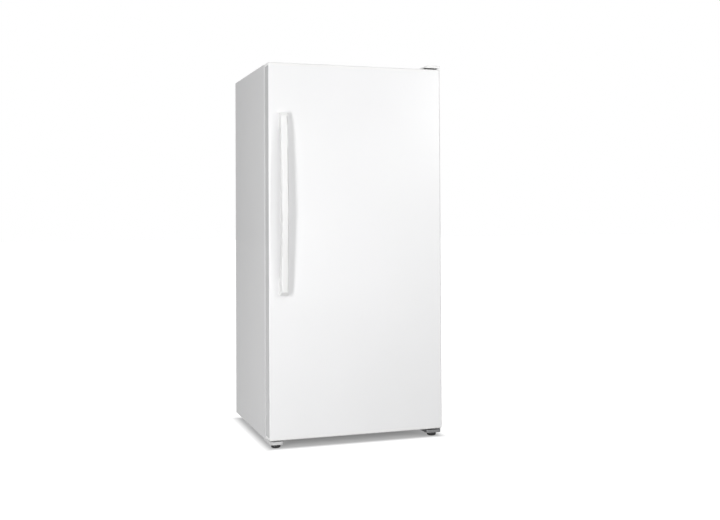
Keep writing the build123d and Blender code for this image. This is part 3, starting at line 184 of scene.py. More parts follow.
class NodeMaker:
    """A node tree. Every node that a finish adds comes from node()."""

    def __init__(self, tree):
        self.tree = tree

    def set(self, node, named):
        """Link or fill sockets, given by name with underscores for spaces, or by number."""
        for key, value in named.items():
            socket = node.inputs[key.replace("_", " ")] if isinstance(key, str) else node.inputs[key]
            if isinstance(value, Value):
                self.tree.links.new(value.output, socket)
            elif socket.type == "RGBA":
                socket.default_value = (*value, 1.0)
            else:
                socket.default_value = value

    def node(self, kind, settings=None, *inputs, take=0, **named):
        """Add a node: its settings first, then its sockets by position or name. take picks the output."""
        made = self.tree.nodes.new(kind)
        for key, value in (settings or {}).items():
            if key == "stops":
                self.fill_ramp(made.color_ramp.elements, value)
            else:
                setattr(made, key, value)
        self.set(made, dict(enumerate(inputs)))
        self.set(made, named)
        return Value(self, made.outputs[take])

    def fill_ramp(self, elements, stops):
        """Give a ramp its (place, grey) stops."""
        while len(elements) < len(stops):
            elements.new(1.0)
        for element, (place, grey) in zip(elements, stops):
            element.position = place
            element.color = (grey, grey, grey, 1.0)

    def seen(self):
        """1 for rays that see, mirror or look through to the surroundings, 0 for those that light them."""
        kinds = ("Is Camera Ray", "Is Glossy Ray", "Is Transmission Ray")
        camera, mirrored, through = (self.node("ShaderNodeLightPath", take=kind) for kind in kinds)
        return camera.most(mirrored).most(through)


class Finish(NodeMaker):
    """One material, built round its shader. Pattern scales count to the metre."""

    def __init__(self, name, **constants):
        self.material = bpy.data.materials.new(name)
        self.material.use_nodes = True
        super().__init__(self.material.node_tree)
        self.shader = self.tree.nodes["Principled BSDF"]
        self.set(self.shader, constants)

    def place(self):
        """Position on the part, in metres, which stays with the piece as it moves."""
        return self.node("ShaderNodeTexCoord", take="Object")

    def stretched(self, scale):
        """The position with each axis scaled, so that a pattern runs out along the smaller factors."""
        return self.node("ShaderNodeMapping", None, self.place(), Scale=scale)

    def noise(self, scale, detail=2.0, roughness=0.5, vector=None):
        named = {"Vector": vector or self.place(), "Scale": scale, "Detail": detail, "Roughness": roughness}
        return self.node("ShaderNodeTexNoise", **named)

    def cells(self, scale, take="Distance"):
        return self.node("ShaderNodeTexVoronoi", take=take, Vector=self.place(), Scale=scale)

    def ramp(self, value, *stops):
        """Greys between (place, grey) stops."""
        return self.node("ShaderNodeValToRGB", {"stops": stops}, value)

    def tint(self, factor, first, second):
        """Blend two colours by a factor."""
        mixed = self.node("ShaderNodeMix", {"data_type": "RGBA"}, take=MIX_RESULT)
        self.set(mixed.output.node, {MIX_FACTOR: factor, MIX_FIRST: first, MIX_SECOND: second})
        return mixed

    def bump(self, height, strength, distance):
        return self.node("ShaderNodeBump", None, Height=height, Strength=strength, Distance=distance)

    def wear(self, **varying):
        """Feed the shader what changes over the surface."""
        self.set(self.shader, varying)
        return self.material


def shade(tone, factor):
    return tuple(channel * factor for channel in tone)


def enamel(name, tone, texture=0.0, roughness=0.3, shaded=None, coat=0.25):
    """Sprayed and baked paint on sheet steel: orange peel, faint unevenness and a little dust.

    texture is the share of pebbled grain. The tone given for faces that are turned to the left or right is a
    painted shade.
    """
    sprayed = Finish(name, IOR=1.5, Coat_Weight=coat, Coat_Roughness=0.12)
    broad = sprayed.noise(1.6)
    fine = sprayed.noise(420.0)
    pebble = sprayed.cells(330.0)
    dust = sprayed.noise(60.0, detail=6.0, roughness=0.65)
    # Painted shade: faces turned to the left or right take the darker tone.
    if shaded:
        normal = sprayed.node("ShaderNodeTexCoord", take="Normal")
        side_shade_mask = abs(sprayed.node("ShaderNodeSeparateXYZ", None, normal))
        tone = sprayed.tint(sprayed.ramp(side_shade_mask, (0.8, 0.0), (0.97, 1.0)), tone, shaded)
    dull = sprayed.tint(0.5, tone, CHALK)
    base = sprayed.tint(sprayed.ramp(broad, (0.35, 0.0), (0.7, 0.5)), tone, dull)
    base = sprayed.tint(sprayed.ramp(dust, (0.62, 0.0), (0.85, 0.25)), base, DUST)
    height = fine * (1.0 - texture) + pebble * texture
    return sprayed.wear(
        Base_Color=base,
        Roughness=broad * 0.08 + dust * 0.06 + roughness,
        Normal=sprayed.bump(height, strength=0.12 + 0.3 * texture, distance=0.00025),
    )


def moulded(name, tone, roughness=0.35, grain=900.0, depth=0.06):
    """Injection moulded plastic: fine spark-eroded grain, slight flow marks and rubbed high spots."""
    plastic = Finish(name, IOR=1.46)
    grain_height = plastic.noise(grain, detail=3.0)
    flow = plastic.noise(5.0, detail=3.0, roughness=0.6, vector=plastic.stretched((1.0, 1.0, 0.3)))
    scuff = plastic.noise(75.0, detail=8.0, roughness=0.7)
    base = plastic.tint(plastic.ramp(flow, (0.4, 0.0), (0.75, 1.0)), tone, shade(tone, 0.95))
    base = plastic.tint(plastic.ramp(scuff, (0.6, 0.0), (0.8, 0.3)), base, shade(tone, 0.88))
    return plastic.wear(
        Base_Color=base,
        Roughness=flow * 0.12 + scuff * 0.08 + (roughness - 0.08),
        Normal=plastic.bump(grain_height, strength=depth, distance=0.0003),
    )


def spangled(name, tone):
    """Hot dip galvanised sheet: crystals of differing brightness, rolled streaks and dull patches."""
    zinc = Finish(name, Metallic=1.0)
    crystal = zinc.cells(70.0, take="Color")
    bright = zinc.node("ShaderNodeSeparateColor", None, crystal)
    streak = zinc.noise(9.0, detail=5.0, roughness=0.6, vector=zinc.stretched((1.0, 1.0, 14.0)))
    stain = zinc.noise(3.0, detail=4.0, roughness=0.6)
    base = zinc.tint(bright, shade(tone, 0.84), shade(tone, 1.12))
    base = zinc.tint(zinc.ramp(stain, (0.5, 0.0), (0.75, 0.6)), base, shade(tone, 0.72))
    return zinc.wear(
        Base_Color=base,
        Roughness=bright * 0.14 + streak * 0.1 + 0.3,
        Normal=zinc.bump(zinc.noise(500.0), strength=0.08, distance=0.0002),
    )


def plated(name, tone, roughness=0.28, stretch=(1.0, 1.0, 30.0), grain=260.0):
    """Drawn or pressed metal, plated or bare: drawn lines, tarnish in patches and bright rubbed places."""
    metal = Finish(name, Metallic=1.0)
    lines = metal.noise(grain, detail=4.0, roughness=0.6, vector=metal.stretched(stretch))
    patch = metal.noise(14.0, detail=5.0, roughness=0.6)
    base = metal.tint(metal.ramp(patch, (0.4, 0.0), (0.7, 1.0)), tone, shade(tone, 0.68))
    return metal.wear(
        Base_Color=base,
        Roughness=lines * 0.16 + patch * 0.2 + (roughness - 0.1),
        Normal=metal.bump(lines, strength=0.1, distance=0.0002),
    )


def foamed(name, tone):
    """Rigid foam: closed cells with a thin skin."""
    foam = Finish(name, IOR=1.4)
    cell = foam.cells(420.0)
    swirl = foam.noise(12.0, detail=5.0)
    return foam.wear(
        Base_Color=foam.tint(foam.ramp(swirl, (0.35, 0.0), (0.7, 1.0)), tone, shade(tone, 0.82)),
        Roughness=cell * 0.2 + 0.72,
        Normal=foam.bump(cell, strength=0.4, distance=0.0006),
    )


def ribbed_vinyl(name, tone):
    """Soft extruded vinyl: fine lines along the strip and dust in the folds."""
    vinyl = Finish(name, IOR=1.5)
    lines = vinyl.noise(180.0, detail=3.0, vector=vinyl.stretched((0.15, 6.0, 0.15)))
    dust = vinyl.noise(40.0, detail=6.0, roughness=0.7)
    return vinyl.wear(
        Base_Color=vinyl.tint(vinyl.ramp(dust, (0.5, 0.0), (0.8, 0.7)), tone, shade(tone, 0.78)),
        Roughness=dust * 0.2 + 0.5,
        Normal=vinyl.bump(lines, strength=0.35, distance=0.0004),
    )


def clear_moulding(name, tone):
    """Translucent moulded plastic: slightly cloudy, with faint flow lines."""
    clear = Finish(name, IOR=1.48, Transmission_Weight=0.2)
    cloud = clear.noise(7.0, detail=4.0, roughness=0.6)
    lines = clear.noise(30.0, detail=3.0, vector=clear.stretched((1.0, 1.0, 12.0)))
    return clear.wear(
        Base_Color=clear.tint(clear.ramp(cloud, (0.35, 0.0), (0.75, 1.0)), tone, shade(tone, 0.93)),
        Roughness=cloud * 0.14 + 0.16,
        Normal=clear.bump(lines, strength=0.12, distance=0.0005),
    )


def frosted(name, tone):
    """Lamp lens: frosted inside, with small prisms moulded across it."""
    lens = Finish(name, IOR=1.49, Transmission_Weight=0.6)
    bands = {"bands_direction": "X"}
    prism = lens.node("ShaderNodeTexWave", bands, lens.place(), Scale=110.0, Distortion=0.0, take="Fac")
    speck = lens.noise(240.0, detail=3.0)
    return lens.wear(
        Base_Color=lens.tint(lens.ramp(speck, (0.4, 0.0), (0.7, 1.0)), tone, shade(tone, 0.94)),
        Roughness=speck * 0.15 + 0.4,
        Normal=lens.bump(prism, strength=0.5, distance=0.0008),
    )


def coated_wire(name, tone):
    """Dipped vinyl on wire: slight runs and thick and thin places."""
    coat = Finish(name, IOR=1.5, Coat_Weight=0.2, Coat_Roughness=0.15)
    runs = coat.noise(130.0, detail=3.0)
    age = coat.noise(8.0, detail=4.0)
    return coat.wear(
        Base_Color=coat.tint(coat.ramp(age, (0.4, 0.0), (0.75, 1.0)), tone, shade(tone, 0.93)),
        Roughness=age * 0.12 + 0.26,
        Normal=coat.bump(runs, strength=0.25, distance=0.0004),
    )


# ---------------------------------------------------------------- meshes

CREASE = math.radians(38)  # edges sharper than this stay crisp
BEVEL_STEPS = 2
BEVEL_PROFILE = 0.7


def finished(name, mesh, material, body, replaces, smooth=True):
    """Turn a bmesh into a piece that rides on a body and stands for CAD nodes."""
    bmesh.ops.recalc_face_normals(mesh, faces=mesh.faces)
    if smooth:
        soften(mesh)
    data = bpy.data.meshes.new(name)
    mesh.to_mesh(data)
    mesh.free()
    data.materials.append(material)
    piece = bpy.data.objects.new(name, data)
    bpy.context.scene.collection.objects.link(piece)
    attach(piece, body)
    if replaces:
        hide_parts(*replaces)


def soften(mesh):
    """Smooth shading, with the sharper edges kept crisp."""
    mesh.normal_update()
    for face in mesh.faces:
        face.smooth = True
    for edge in mesh.edges:
        edge.smooth = len(edge.link_faces) == 2 and edge.calc_face_angle(0.0) < CREASE


def band(mesh, near, far):
    """Join two rings of vertices with faces."""
    for corners in zip(near, near[1:] + near[:1], far[1:] + far[:1], far):
        mesh.faces.new(corners)


def skin(mesh, rings, closed=False):
    """Join rings of vertices in turn. Closed, the last meets the first, and otherwise the ends get caps."""
    for near, far in zip(rings, rings[1:]):
        band(mesh, near, far)
    if closed:
        band(mesh, rings[-1], rings[0])
    else:
        mesh.faces.new(rings[0][::-1])
        mesh.faces.new(rings[-1])


def turn(mesh, outline, origin, axis, segments, ripple=None):
    """Spin an outline of (radius, distance along the axis) pairs, each of which makes one ring.

    ripple gives a share of the radius for a step of a ring.
    """
    turned = Vector(axis).to_track_quat("Z", "Y").to_matrix()
    rings = []
    for number, (radius, along) in enumerate(outline):
        ring = []
        for step in range(segments):
            angle = 2 * math.pi * step / segments
            reach = radius * (ripple(step, number) if ripple else 1.0)
            point = turned @ Vector((reach * math.cos(angle), reach * math.sin(angle), along))
            ring.append(mesh.verts.new(Vector(origin) + point))
        rings.append(ring)
    skin(mesh, rings)


def notched(rings, period, cut, depth):
    """A ripple for turn(): on the given rings, the cut steps of each period are drawn in by a share."""
    return lambda step, number: 1.0 - depth if number in rings and step % period in cut else 1.0


def rounded(points, radius, steps=4):
    """A polyline with its inner corners rounded."""
    points = [Vector(point) for point in points]
    smooth = [points[0]]
    for before, corner, after in zip(points, points[1:], points[2:]):
        to_before, to_after = (before - corner), (after - corner)
        reach = min(radius, to_before.length / 2, to_after.length / 2)
        start, end = corner + to_before.normalized() * reach, corner + to_after.normalized() * reach
        for step in range(steps + 1):
            share = step / steps
            smooth.append(start * (1 - share) ** 2 + corner * (2 * share * (1 - share)) + end * share**2)
    smooth.append(points[-1])
    return smooth


def wire(mesh, points, diameter, sides, closed=False):
    """A round wire along a polyline."""
    points = [Vector(point) for point in points]
    rings = []
    count = len(points)
    normal = None
    for index, point in enumerate(points):
        before = points[index - 1] if index or closed else point
        after = points[(index + 1) % count] if index < count - 1 or closed else point
        along = (after - before).normalized()
        if normal is None:
            normal = along.orthogonal().normalized()
        normal = (normal - along * normal.dot(along)).normalized()
        side = along.cross(normal)
        ring = []
        for step in range(sides):
            angle = 2 * math.pi * (step + 0.5) / sides
            offset = normal * math.cos(angle) + side * math.sin(angle)
            ring.append(mesh.verts.new(point + offset * diameter / 2))
        rings.append(ring)
    skin(mesh, rings, closed)


def plate(mesh, low, high, bevel):
    """A rectangular plate or block with rounded edges."""
    made = bmesh.ops.create_cube(mesh, size=1.0)["verts"]
    middle, size = (Vector(low) + Vector(high)) / 2, Vector(high) - Vector(low)
    for vertex in made:
        vertex.co = Vector(share * span for share, span in zip(vertex.co, size)) + middle
    edges = list({edge for vertex in made for edge in vertex.link_edges})
    shape = {"offset": bevel, "segments": BEVEL_STEPS, "profile": BEVEL_PROFILE, "affect": "EDGES"}
    bmesh.ops.bevel(mesh, geom=edges, **shape)


def spread(low, high, pitch, margin=0.0):
    """Even places between two limits less a margin, no further apart than the pitch."""
    span = high - low - 2 * margin
    count = max(2, int(math.ceil(span / pitch)) + 1)
    return [low + margin + span * index / (count - 1) for index in range(count)]


def paint(material, *nodes):
    """Give CAD nodes a finish."""
    for name in nodes:
        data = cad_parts[name].data
        data.materials.clear()
        data.materials.append(material)


# ---------------------------------------------------------------- operators


class FREEZER_OT_cabinet(Operator):
    """Finish the cabinet's panels, liner, brackets and hinges, and all foam and fasteners"""

    bl_idname = "freezer.cabinet"
    bl_label = "Cabinet"

    def execute(self, context):
        tones = context.scene.freezer_colours
        painted = enamel("cabinet_enamel", tones.cabinet, texture=0.6, roughness=0.5, coat=0.2)
        paint(painted, "side_panel_left", "side_panel_right", "top_panel", "bottom_panel", "base_rail")
        zinc = spangled("galvanised_sheet", tones.galvanised)
        paint(zinc, "back_panel", "machine_bulkhead", "compressor_tray", "machine_cover")
        paint(zinc, "roller_bracket_left", "roller_bracket_right")
        steel = plated("plated_steel", tones.plated)
        paint(steel, "hinge_screws", "machine_cover_screws", "compressor_bolts", "handle_screws")
        hinge = plated("hinge_steel", tones.hinge, roughness=0.38)
        paint(hinge, "top_hinge_leaf", "bottom_hinge_bracket")
        paint(enamel("bracket_enamel", tones.bracket, texture=0.3, roughness=0.35), "foot_bracket_left")
        paint(foamed("cabinet_foam", tones.foam), "cabinet_insulation", "door_insulation")
        paint(moulded("formed_liner", tones.liner, roughness=0.32, grain=500.0, depth=0.05), "inner_liner")
        return {"FINISHED"}


class FREEZER_OT_door(Operator):
    """Finish the door's skin, caps, handle, liner, bins and bushes, and the top hinge's cover"""

    bl_idname = "freezer.door"
    bl_label = "Door"

    def execute(self, context):
        tones = context.scene.freezer_colours
        # The door's left and right faces get a painted shade.
        paint(enamel("door_enamel", tones.door, roughness=0.24, shaded=tones.door_side_shade), "door_skin")
        white = moulded("white_moulding", tones.moulding, roughness=0.3, grain=700.0, depth=0.04)
        paint(white, "door_top_cap", "door_bottom_cap", "door_handle", "top_hinge_cover")
        sheet = moulded("door_liner_sheet", tones.liner, roughness=0.32, grain=500.0, depth=0.05)
        paint(sheet, "door_liner")
        clear = clear_moulding("bin_plastic", tones.bin)
        paint(clear, "door_bin_1", "door_bin_2", "door_bin_3", "door_bin_4")
        paint(moulded("bush_plastic", tones.small, roughness=0.4), "hinge_bushes")
        return {"FINISHED"}


SEAL_WIDTH = 0.020

# The seal's section from the outer edge of its foot, over its folds and face, to the foot's inner edge:
# (share of its width, share of its depth).
SEAL_SECTION = (
    ((0.0, 0.0), (0.06, 0.34), (0.24, 0.42), (0.3, 0.5), (0.22, 0.6), (0.08, 0.66), (0.04, 0.9))
    + ((0.14, 1.0), (0.86, 1.0), (0.96, 0.9), (0.92, 0.66), (0.78, 0.6), (0.7, 0.5), (0.76, 0.42))
    + ((0.94, 0.34), (1.0, 0.0))
)


class FREEZER_OT_seal(Operator):
    """Make the soft door seal: a bellows strip with mitred corners"""

    bl_idname = "freezer.seal"
    bl_label = "Door Seal"

    def execute(self, context):
        low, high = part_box("door_gasket")
        mesh = bmesh.new()
        rings = []
        for inset, rise in SEAL_SECTION:
            step, y = inset * SEAL_WIDTH, low.y + rise * (high.y - low.y)
            left, right, bottom, top = low.x + step, high.x - step, low.z + step, high.z - step
            corners = ((left, bottom), (right, bottom), (right, top), (left, top))
            rings.append([mesh.verts.new((x, y, z)) for x, z in corners])
        skin(mesh, rings, closed=True)
        material = ribbed_vinyl("seal_vinyl", context.scene.freezer_colours.seal)
        finished("door_seal", mesh, material, "door", ("door_gasket",))
        return {"FINISHED"}


STEM_START = 0.0155
STEM_RADIUS = 0.0042
THREAD_RADIUS = 0.0049
THREAD_TURNS = 9
FOOT_SEGMENTS = 96

# The pad's grip: one step in four is drawn in on the rings of its flank.
FOOT_GRIP = notched(rings=(4, 5, 6), period=4, cut=(0,), depth=0.018)


class FREEZER_OT_feet(Operator):
    """Make the two levelling feet: ribbed pads on threaded stems"""

    bl_idname = "freezer.feet"
    bl_label = "Levelling Feet"

    def execute(self, context):
        tone = context.scene.freezer_colours.dark
        material = moulded("foot_plastic", tone, roughness=0.34, grain=600.0, depth=0.08)
        for side in ("left", "right"):
            node = f"foot_{side}"
            low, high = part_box(node)
            middle = (low + high) / 2
            outline = self.outline((high.x - low.x) / 2, high.z - low.z)
            mesh = bmesh.new()
            turn(mesh, outline, (middle.x, middle.y, low.z), (0, 0, 1), FOOT_SEGMENTS, FOOT_GRIP)
            finished(f"foot_pad_{side}", mesh, material, node, (node,))
        return {"FINISHED"}

    def outline(self, reach, tall):
        """The foot's (radius, height) pairs: rounded sole, flank, shoulder, collar, thread and stem's end."""
        outline = [(0.012, 0.0), (0.0156, 0.0), (0.0176, 0.0008), (0.0198, 0.0028), (reach, 0.0054)]
        outline += [(reach, 0.012), (reach - 0.0012, 0.0138), (reach - 0.0032, 0.0146), (0.009, 0.015)]
        outline += [(0.0082, STEM_START), (STEM_RADIUS, STEM_START)]
        pitch = (tall - STEM_START) / THREAD_TURNS
        for index in range(THREAD_TURNS):
            level = STEM_START + index * pitch
            outline += [(STEM_RADIUS, level + pitch * 0.25), (THREAD_RADIUS, level + pitch * 0.6)]
        return [*outline, (STEM_RADIUS, tall)]


ROLLER_SEGMENTS = 64

# One half of the roller's profile, from its middle outwards: (share of its radius, share of its width).
ROLLER_SIDE = ((0.33, 0.0), (0.62, 0.0), (0.66, 0.06), (0.84, 0.06), (0.88, 0.0), (0.95, 0.03), (1.0, 0.12))


class FREEZER_OT_rollers(Operator):
    """Make the two rear rollers: dark wheels with a crowned tread"""

    bl_idname = "freezer.rollers"
    bl_label = "Rear Rollers"

    def execute(self, context):
        tone = context.scene.freezer_colours.dark
        material = moulded("roller_plastic", tone, roughness=0.45, grain=500.0, depth=0.12)
        for side in ("left", "right"):
            node = f"roller_{side}"
            low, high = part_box(node)
            middle, wide, reach = (low + high) / 2, high.x - low.x, (high.z - low.z) / 2
            outline = [(reach * radius, wide * along) for radius, along in ROLLER_SIDE]
            outline += [(reach * radius, wide * (1 - along)) for radius, along in reversed(ROLLER_SIDE)]
            mesh = bmesh.new()
            turn(mesh, outline, (low.x, middle.y, middle.z), (1, 0, 0), ROLLER_SEGMENTS)
            finished(f"roller_wheel_{side}", mesh, material, node, (node,))
        return {"FINISHED"}


SHELVES = 4
FRAME_DROP = 0.009  # from the shelf's top down to the underside of its frame
RAIL_PITCH = 0.13
RAIL_MARGIN = 0.01
WIRE_MARGIN = 0.012
WIRE_WELD = 0.0004  # how far a wire sinks into the frame
LIP_INSET = 0.0145  # between the shelf's sides and its front lip
LIP_BEND = 0.006
LIP_WELD = 0.0006  # how far the lip's rail sinks into the wires


class FREEZER_OT_shelves(Operator):
    """Make the four wire shelves: closely spaced wires on a frame, bent down into a front lip"""

    bl_idname = "freezer.shelves"
    bl_label = "Wire Shelves"

    def execute(self, context):
        sizes = context.scene.freezer_wires
        material = coated_wire("shelf_coating", context.scene.freezer_colours.wire)
        thick, thin = sizes.shelf_frame, sizes.shelf_wire
        for number in range(1, SHELVES + 1):
            node = f"shelf_{number}"
            low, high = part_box(node)
            frame_z = high.z - FRAME_DROP + thick / 2
            wire_z = frame_z + (thick + thin) / 2 - WIRE_WELD
            rail_z = low.z + thick / 2
            left, right = low.x + thick / 2, high.x - thick / 2
            front, rear = low.y + thick / 2, high.y - thick / 2
            lip_y, rail_y = low.y + thin / 2, low.y + thin + thick / 2 - LIP_WELD
            lip_left, lip_right = left + LIP_INSET, right - LIP_INSET
            mesh = bmesh.new()
            for y in spread(front + RAIL_MARGIN, rear, RAIL_PITCH):
                wire(mesh, [(left, y, frame_z), (right, y, frame_z)], thick, sizes.sides)
            for x in (left, right):
                wire(mesh, [(x, front, frame_z), (x, rear, frame_z)], thick, sizes.sides)
            for x in spread(lip_left, lip_right, sizes.shelf_pitch, WIRE_MARGIN):
                path = [(x, rear, wire_z), (x, lip_y, wire_z), (x, lip_y, rail_z)]
                wire(mesh, rounded(path, LIP_BEND), thin, sizes.sides)
            wire(mesh, [(lip_left, rail_y, rail_z), (lip_right, rail_y, rail_z)], thick, sizes.sides)
            finished(f"wire_shelf_{number}", mesh, material, "cabinet", (node,))
        return {"FINISHED"}


BASKET_RIM = 0.013  # width of the rim's side bars, which hang on the liner's ledges
RIM_THICK = 0.0045
RIM_INSET = 0.001
RIM_BEVEL = 0.0015
BAR_THICK = 0.004  # of the rim's front and rear bars
BAR_BEVEL = 0.0012
RIM_DROP = 0.005  # from the basket's top down to the rim's underside
BASKET_MARGIN = 0.024
BASKET_BEND = 0.012
BEND_STEPS = 6
HOOP_LEVELS = (0.3, 0.65)  # shares of the way from the basket's floor to its rim
HOOP_BEND = 0.01
CROSS_LIFT = 0.9  # share of a wire by which the cross wires lie above the others
HOOP_REACH = 0.42  # share of a wire by which the hoops lie outside the basket's walls


class FREEZER_OT_basket(Operator):
    """Make the wire basket: bent cradle wires inside hoops, hung from a flat rim"""

    bl_idname = "freezer.basket"
    bl_label = "Wire Basket"

    def execute(self, context):
        sizes = context.scene.freezer_wires
        low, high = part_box("basket")
        thin = sizes.basket_wire
        left, right = low.x + BASKET_RIM, high.x - BASKET_RIM
        front, rear = low.y + BAR_THICK, high.y - BAR_THICK
        top, floor = high.z - RIM_DROP, low.z + thin / 2
        mesh = bmesh.new()
        near, far = front + thin / 2, rear - thin / 2
        for x in spread(left, right, sizes.basket_pitch, BASKET_MARGIN):
            path = [(x, near, top), (x, near, floor), (x, far, floor), (x, far, top)]
            wire(mesh, rounded(path, BASKET_BEND, BEND_STEPS), thin, sizes.sides)
        near, far, level = left + thin / 2, right - thin / 2, floor + thin * CROSS_LIFT
        for y in spread(front, rear, sizes.basket_pitch, BASKET_MARGIN):
            path = [(near, y, top), (near, y, level), (far, y, level), (far, y, top)]
            wire(mesh, rounded(path, BASKET_BEND, BEND_STEPS), thin, sizes.sides)
        reach = thin * HOOP_REACH
        for share in HOOP_LEVELS:
            z = floor + (top - floor) * share
            corners = [
                (left - reach, front - reach, z),
                (right + reach, front - reach, z),
                (right + reach, rear + reach, z),
                (left - reach, rear + reach, z),
            ]
            loop = rounded([corners[-1], *corners, corners[0]], HOOP_BEND)[1:-1]
            wire(mesh, loop, thin, sizes.sides, closed=True)
        half = BAR_THICK / 2
        for y in (front - half, rear + half):
            start, end = (low.x + RIM_INSET, y - half, top), (high.x - RIM_INSET, y + half, top + BAR_THICK)
            plate(mesh, start, end, BAR_BEVEL)
        half = BASKET_RIM / 2
        for x in (low.x + half, high.x - half):
            start, end = (x - half, low.y + RIM_INSET, top), (x + half, high.y - RIM_INSET, top + RIM_THICK)
            plate(mesh, start, end, RIM_BEVEL)
        material = coated_wire("basket_coating", context.scene.freezer_colours.wire)
        finished("wire_basket", mesh, material, "basket", ("basket",))
        return {"FINISHED"}


FAN_HUB = 0.017
HUB_MIDDLE = 0.003  # radius of the disc that closes each end of the hub
FAN_SEGMENTS = 40
FAN_BLADES = 5
BLADE_ROWS, BLADE_COLUMNS = 9, 7
BLADE_HALF = 0.0007  # half of a blade's thickness
BLADE_START, BLADE_END = 0.9, 0.99  # shares of the hub's radius and of the fan's
BLADE_SWEEP = 0.28  # angle from a blade's root to its tip, seen from the front
BLADE_TWIST, BLADE_UNTWIST = 46, 24  # degrees at the root, and how many fewer at the tip
BLADE_CHORD, BLADE_SWELL = 0.014, 0.02  # the even part of a blade's chord, and the part that swells
BLADE_CAMBER = 0.0022
BLADE_FLATTEN = 0.75  # share of the twist's rise that a blade keeps
LEAST_RADIUS = 0.02  # inside it, a blade's chord spans no wider angle

# The hub's outline: (share of its radius, share of the fan's depth).
HUB_OUTLINE = ((0.86, 0.2), (1.0, 0.26), (1.0, 0.72), (0.86, 0.78))


class FREEZER_OT_cold_parts(Operator):
    """Finish the duct cover, coil, motor and drain tube, and make the fan with its twisted blades"""

    bl_idname = "freezer.cold_parts"
    bl_label = "Cold Parts"

    def execute(self, context):
        tones = context.scene.freezer_colours
        cover = moulded("duct_cover_plastic", tones.liner, roughness=0.36, grain=420.0, depth=0.07)
        paint(cover, "evaporator_cover")
        fins = plated("fin_aluminium", tones.aluminium, roughness=0.34, stretch=(1.0, 1.0, 12.0), grain=140.0)
        paint(fins, "evaporator_coil")
        paint(moulded("motor_plastic", tones.dark, roughness=0.5), "fan_motor", "drain_tube")
        low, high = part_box("fan_blade")
        middle, reach, deep = (low + high) / 2, (high.z - low.z) / 2, high.y - low.y
        mesh = bmesh.new()
        outline = [(FAN_HUB * radius, deep * along) for radius, along in HUB_OUTLINE]
        outline = [(HUB_MIDDLE, outline[0][1]), *outline, (HUB_MIDDLE, outline[-1][1])]
        turn(mesh, outline, (middle.x, low.y, middle.z), (0, 1, 0), FAN_SEGMENTS)
        for number in range(FAN_BLADES):
            self.blade(mesh, middle, reach, 2 * math.pi * number / FAN_BLADES)
        material = moulded("fan_plastic", tones.small, roughness=0.35)
        finished("fan_rotor", mesh, material, "fan", ("fan_blade",))
        return {"FINISHED"}

    def blade(self, mesh, middle, reach, start):
        """One swept blade, flatter at its tip than at its root, as two skins with an edge between them."""
        rows = []
        root, tip = FAN_HUB * BLADE_START, reach * BLADE_END
        for row in range(BLADE_ROWS):
            share = row / (BLADE_ROWS - 1)
            radius = root + (tip - root) * share
            twist = math.radians(BLADE_TWIST - BLADE_UNTWIST * share)
            chord = BLADE_CHORD + BLADE_SWELL * math.sin(math.pi * (0.25 + 0.5 * share))
            line = []
            for column in range(BLADE_COLUMNS):
                place = column / (BLADE_COLUMNS - 1) - 0.5
                across = place * chord * math.cos(twist)
                slope = place * chord * math.sin(twist) * BLADE_FLATTEN
                lift = slope + BLADE_CAMBER * math.cos(math.pi * place)
                angle = start + BLADE_SWEEP * share + across / max(radius, LEAST_RADIUS)
                line.append(middle + Vector((radius * math.cos(angle), lift, radius * math.sin(angle))))
            rows.append(line)
        edges = []
        for side in (-1, 1):
            shift = Vector((0, side * BLADE_HALF, 0))
            layer = [[mesh.verts.new(point + shift) for point in line] for line in rows]
            for inner, outer in zip(layer, layer[1:]):
                for corners in zip(inner, inner[1:], outer[1:], outer):
                    mesh.faces.new(corners[::side])
            trailing = [line[0] for line in layer[-2:0:-1]]
            edges.append(layer[0] + [line[-1] for line in layer[1:]] + layer[-1][-2::-1] + trailing)
        band(mesh, *edges)


KNOB_LENGTH = 0.015
KNOB_SEGMENTS = 120
SHAFT_HALF = 0.003
SHAFT_BEVEL = 0.001
POINTER_HALF = 0.0011
POINTER_DEPTH = 0.004
POINTER_START, POINTER_END = 0.003, 0.0128  # from the knob's middle
POINTER_BEVEL = 0.0005
MARKS = 9
MARK_SWEEP = 135  # degrees from the top to the first and last mark
MARK_GAP = 0.0012  # between the knob and the marks
MARK_LENGTH = 0.0026
MARK_HALF = 0.0007  # half of the first mark's width; the last is twice as wide
MARK_TAPER = 0.7
MARK_RISE, MARK_ROOT = 0.00025, 0.0003  # out of the control box's face and into it
MARK_LIMIT = 0.0205  # half the height of the face that takes print; a mark that would pass it is left out
MARK_ROOM = 0.003  # what a mark takes beyond the gap

# The knob's outline from its skirt to its front: (share of its radius, distance from its back).
KNOB_OUTLINE = (
    ((0.3, 0.0), (0.97, 0.0), (1.0, 0.0006), (1.0, 0.004), (0.96, 0.005), (0.84, 0.0052), (0.8, 0.007))
    + ((0.77, 0.0125), (0.72, 0.0142), (0.62, KNOB_LENGTH), (0.2, 0.0145))
)

# The knob's ribs: three steps in six are drawn in on the two rings of its grip.
KNOB_RIBS = notched(rings=(6, 7), period=6, cut=(2, 3, 4), depth=0.035)


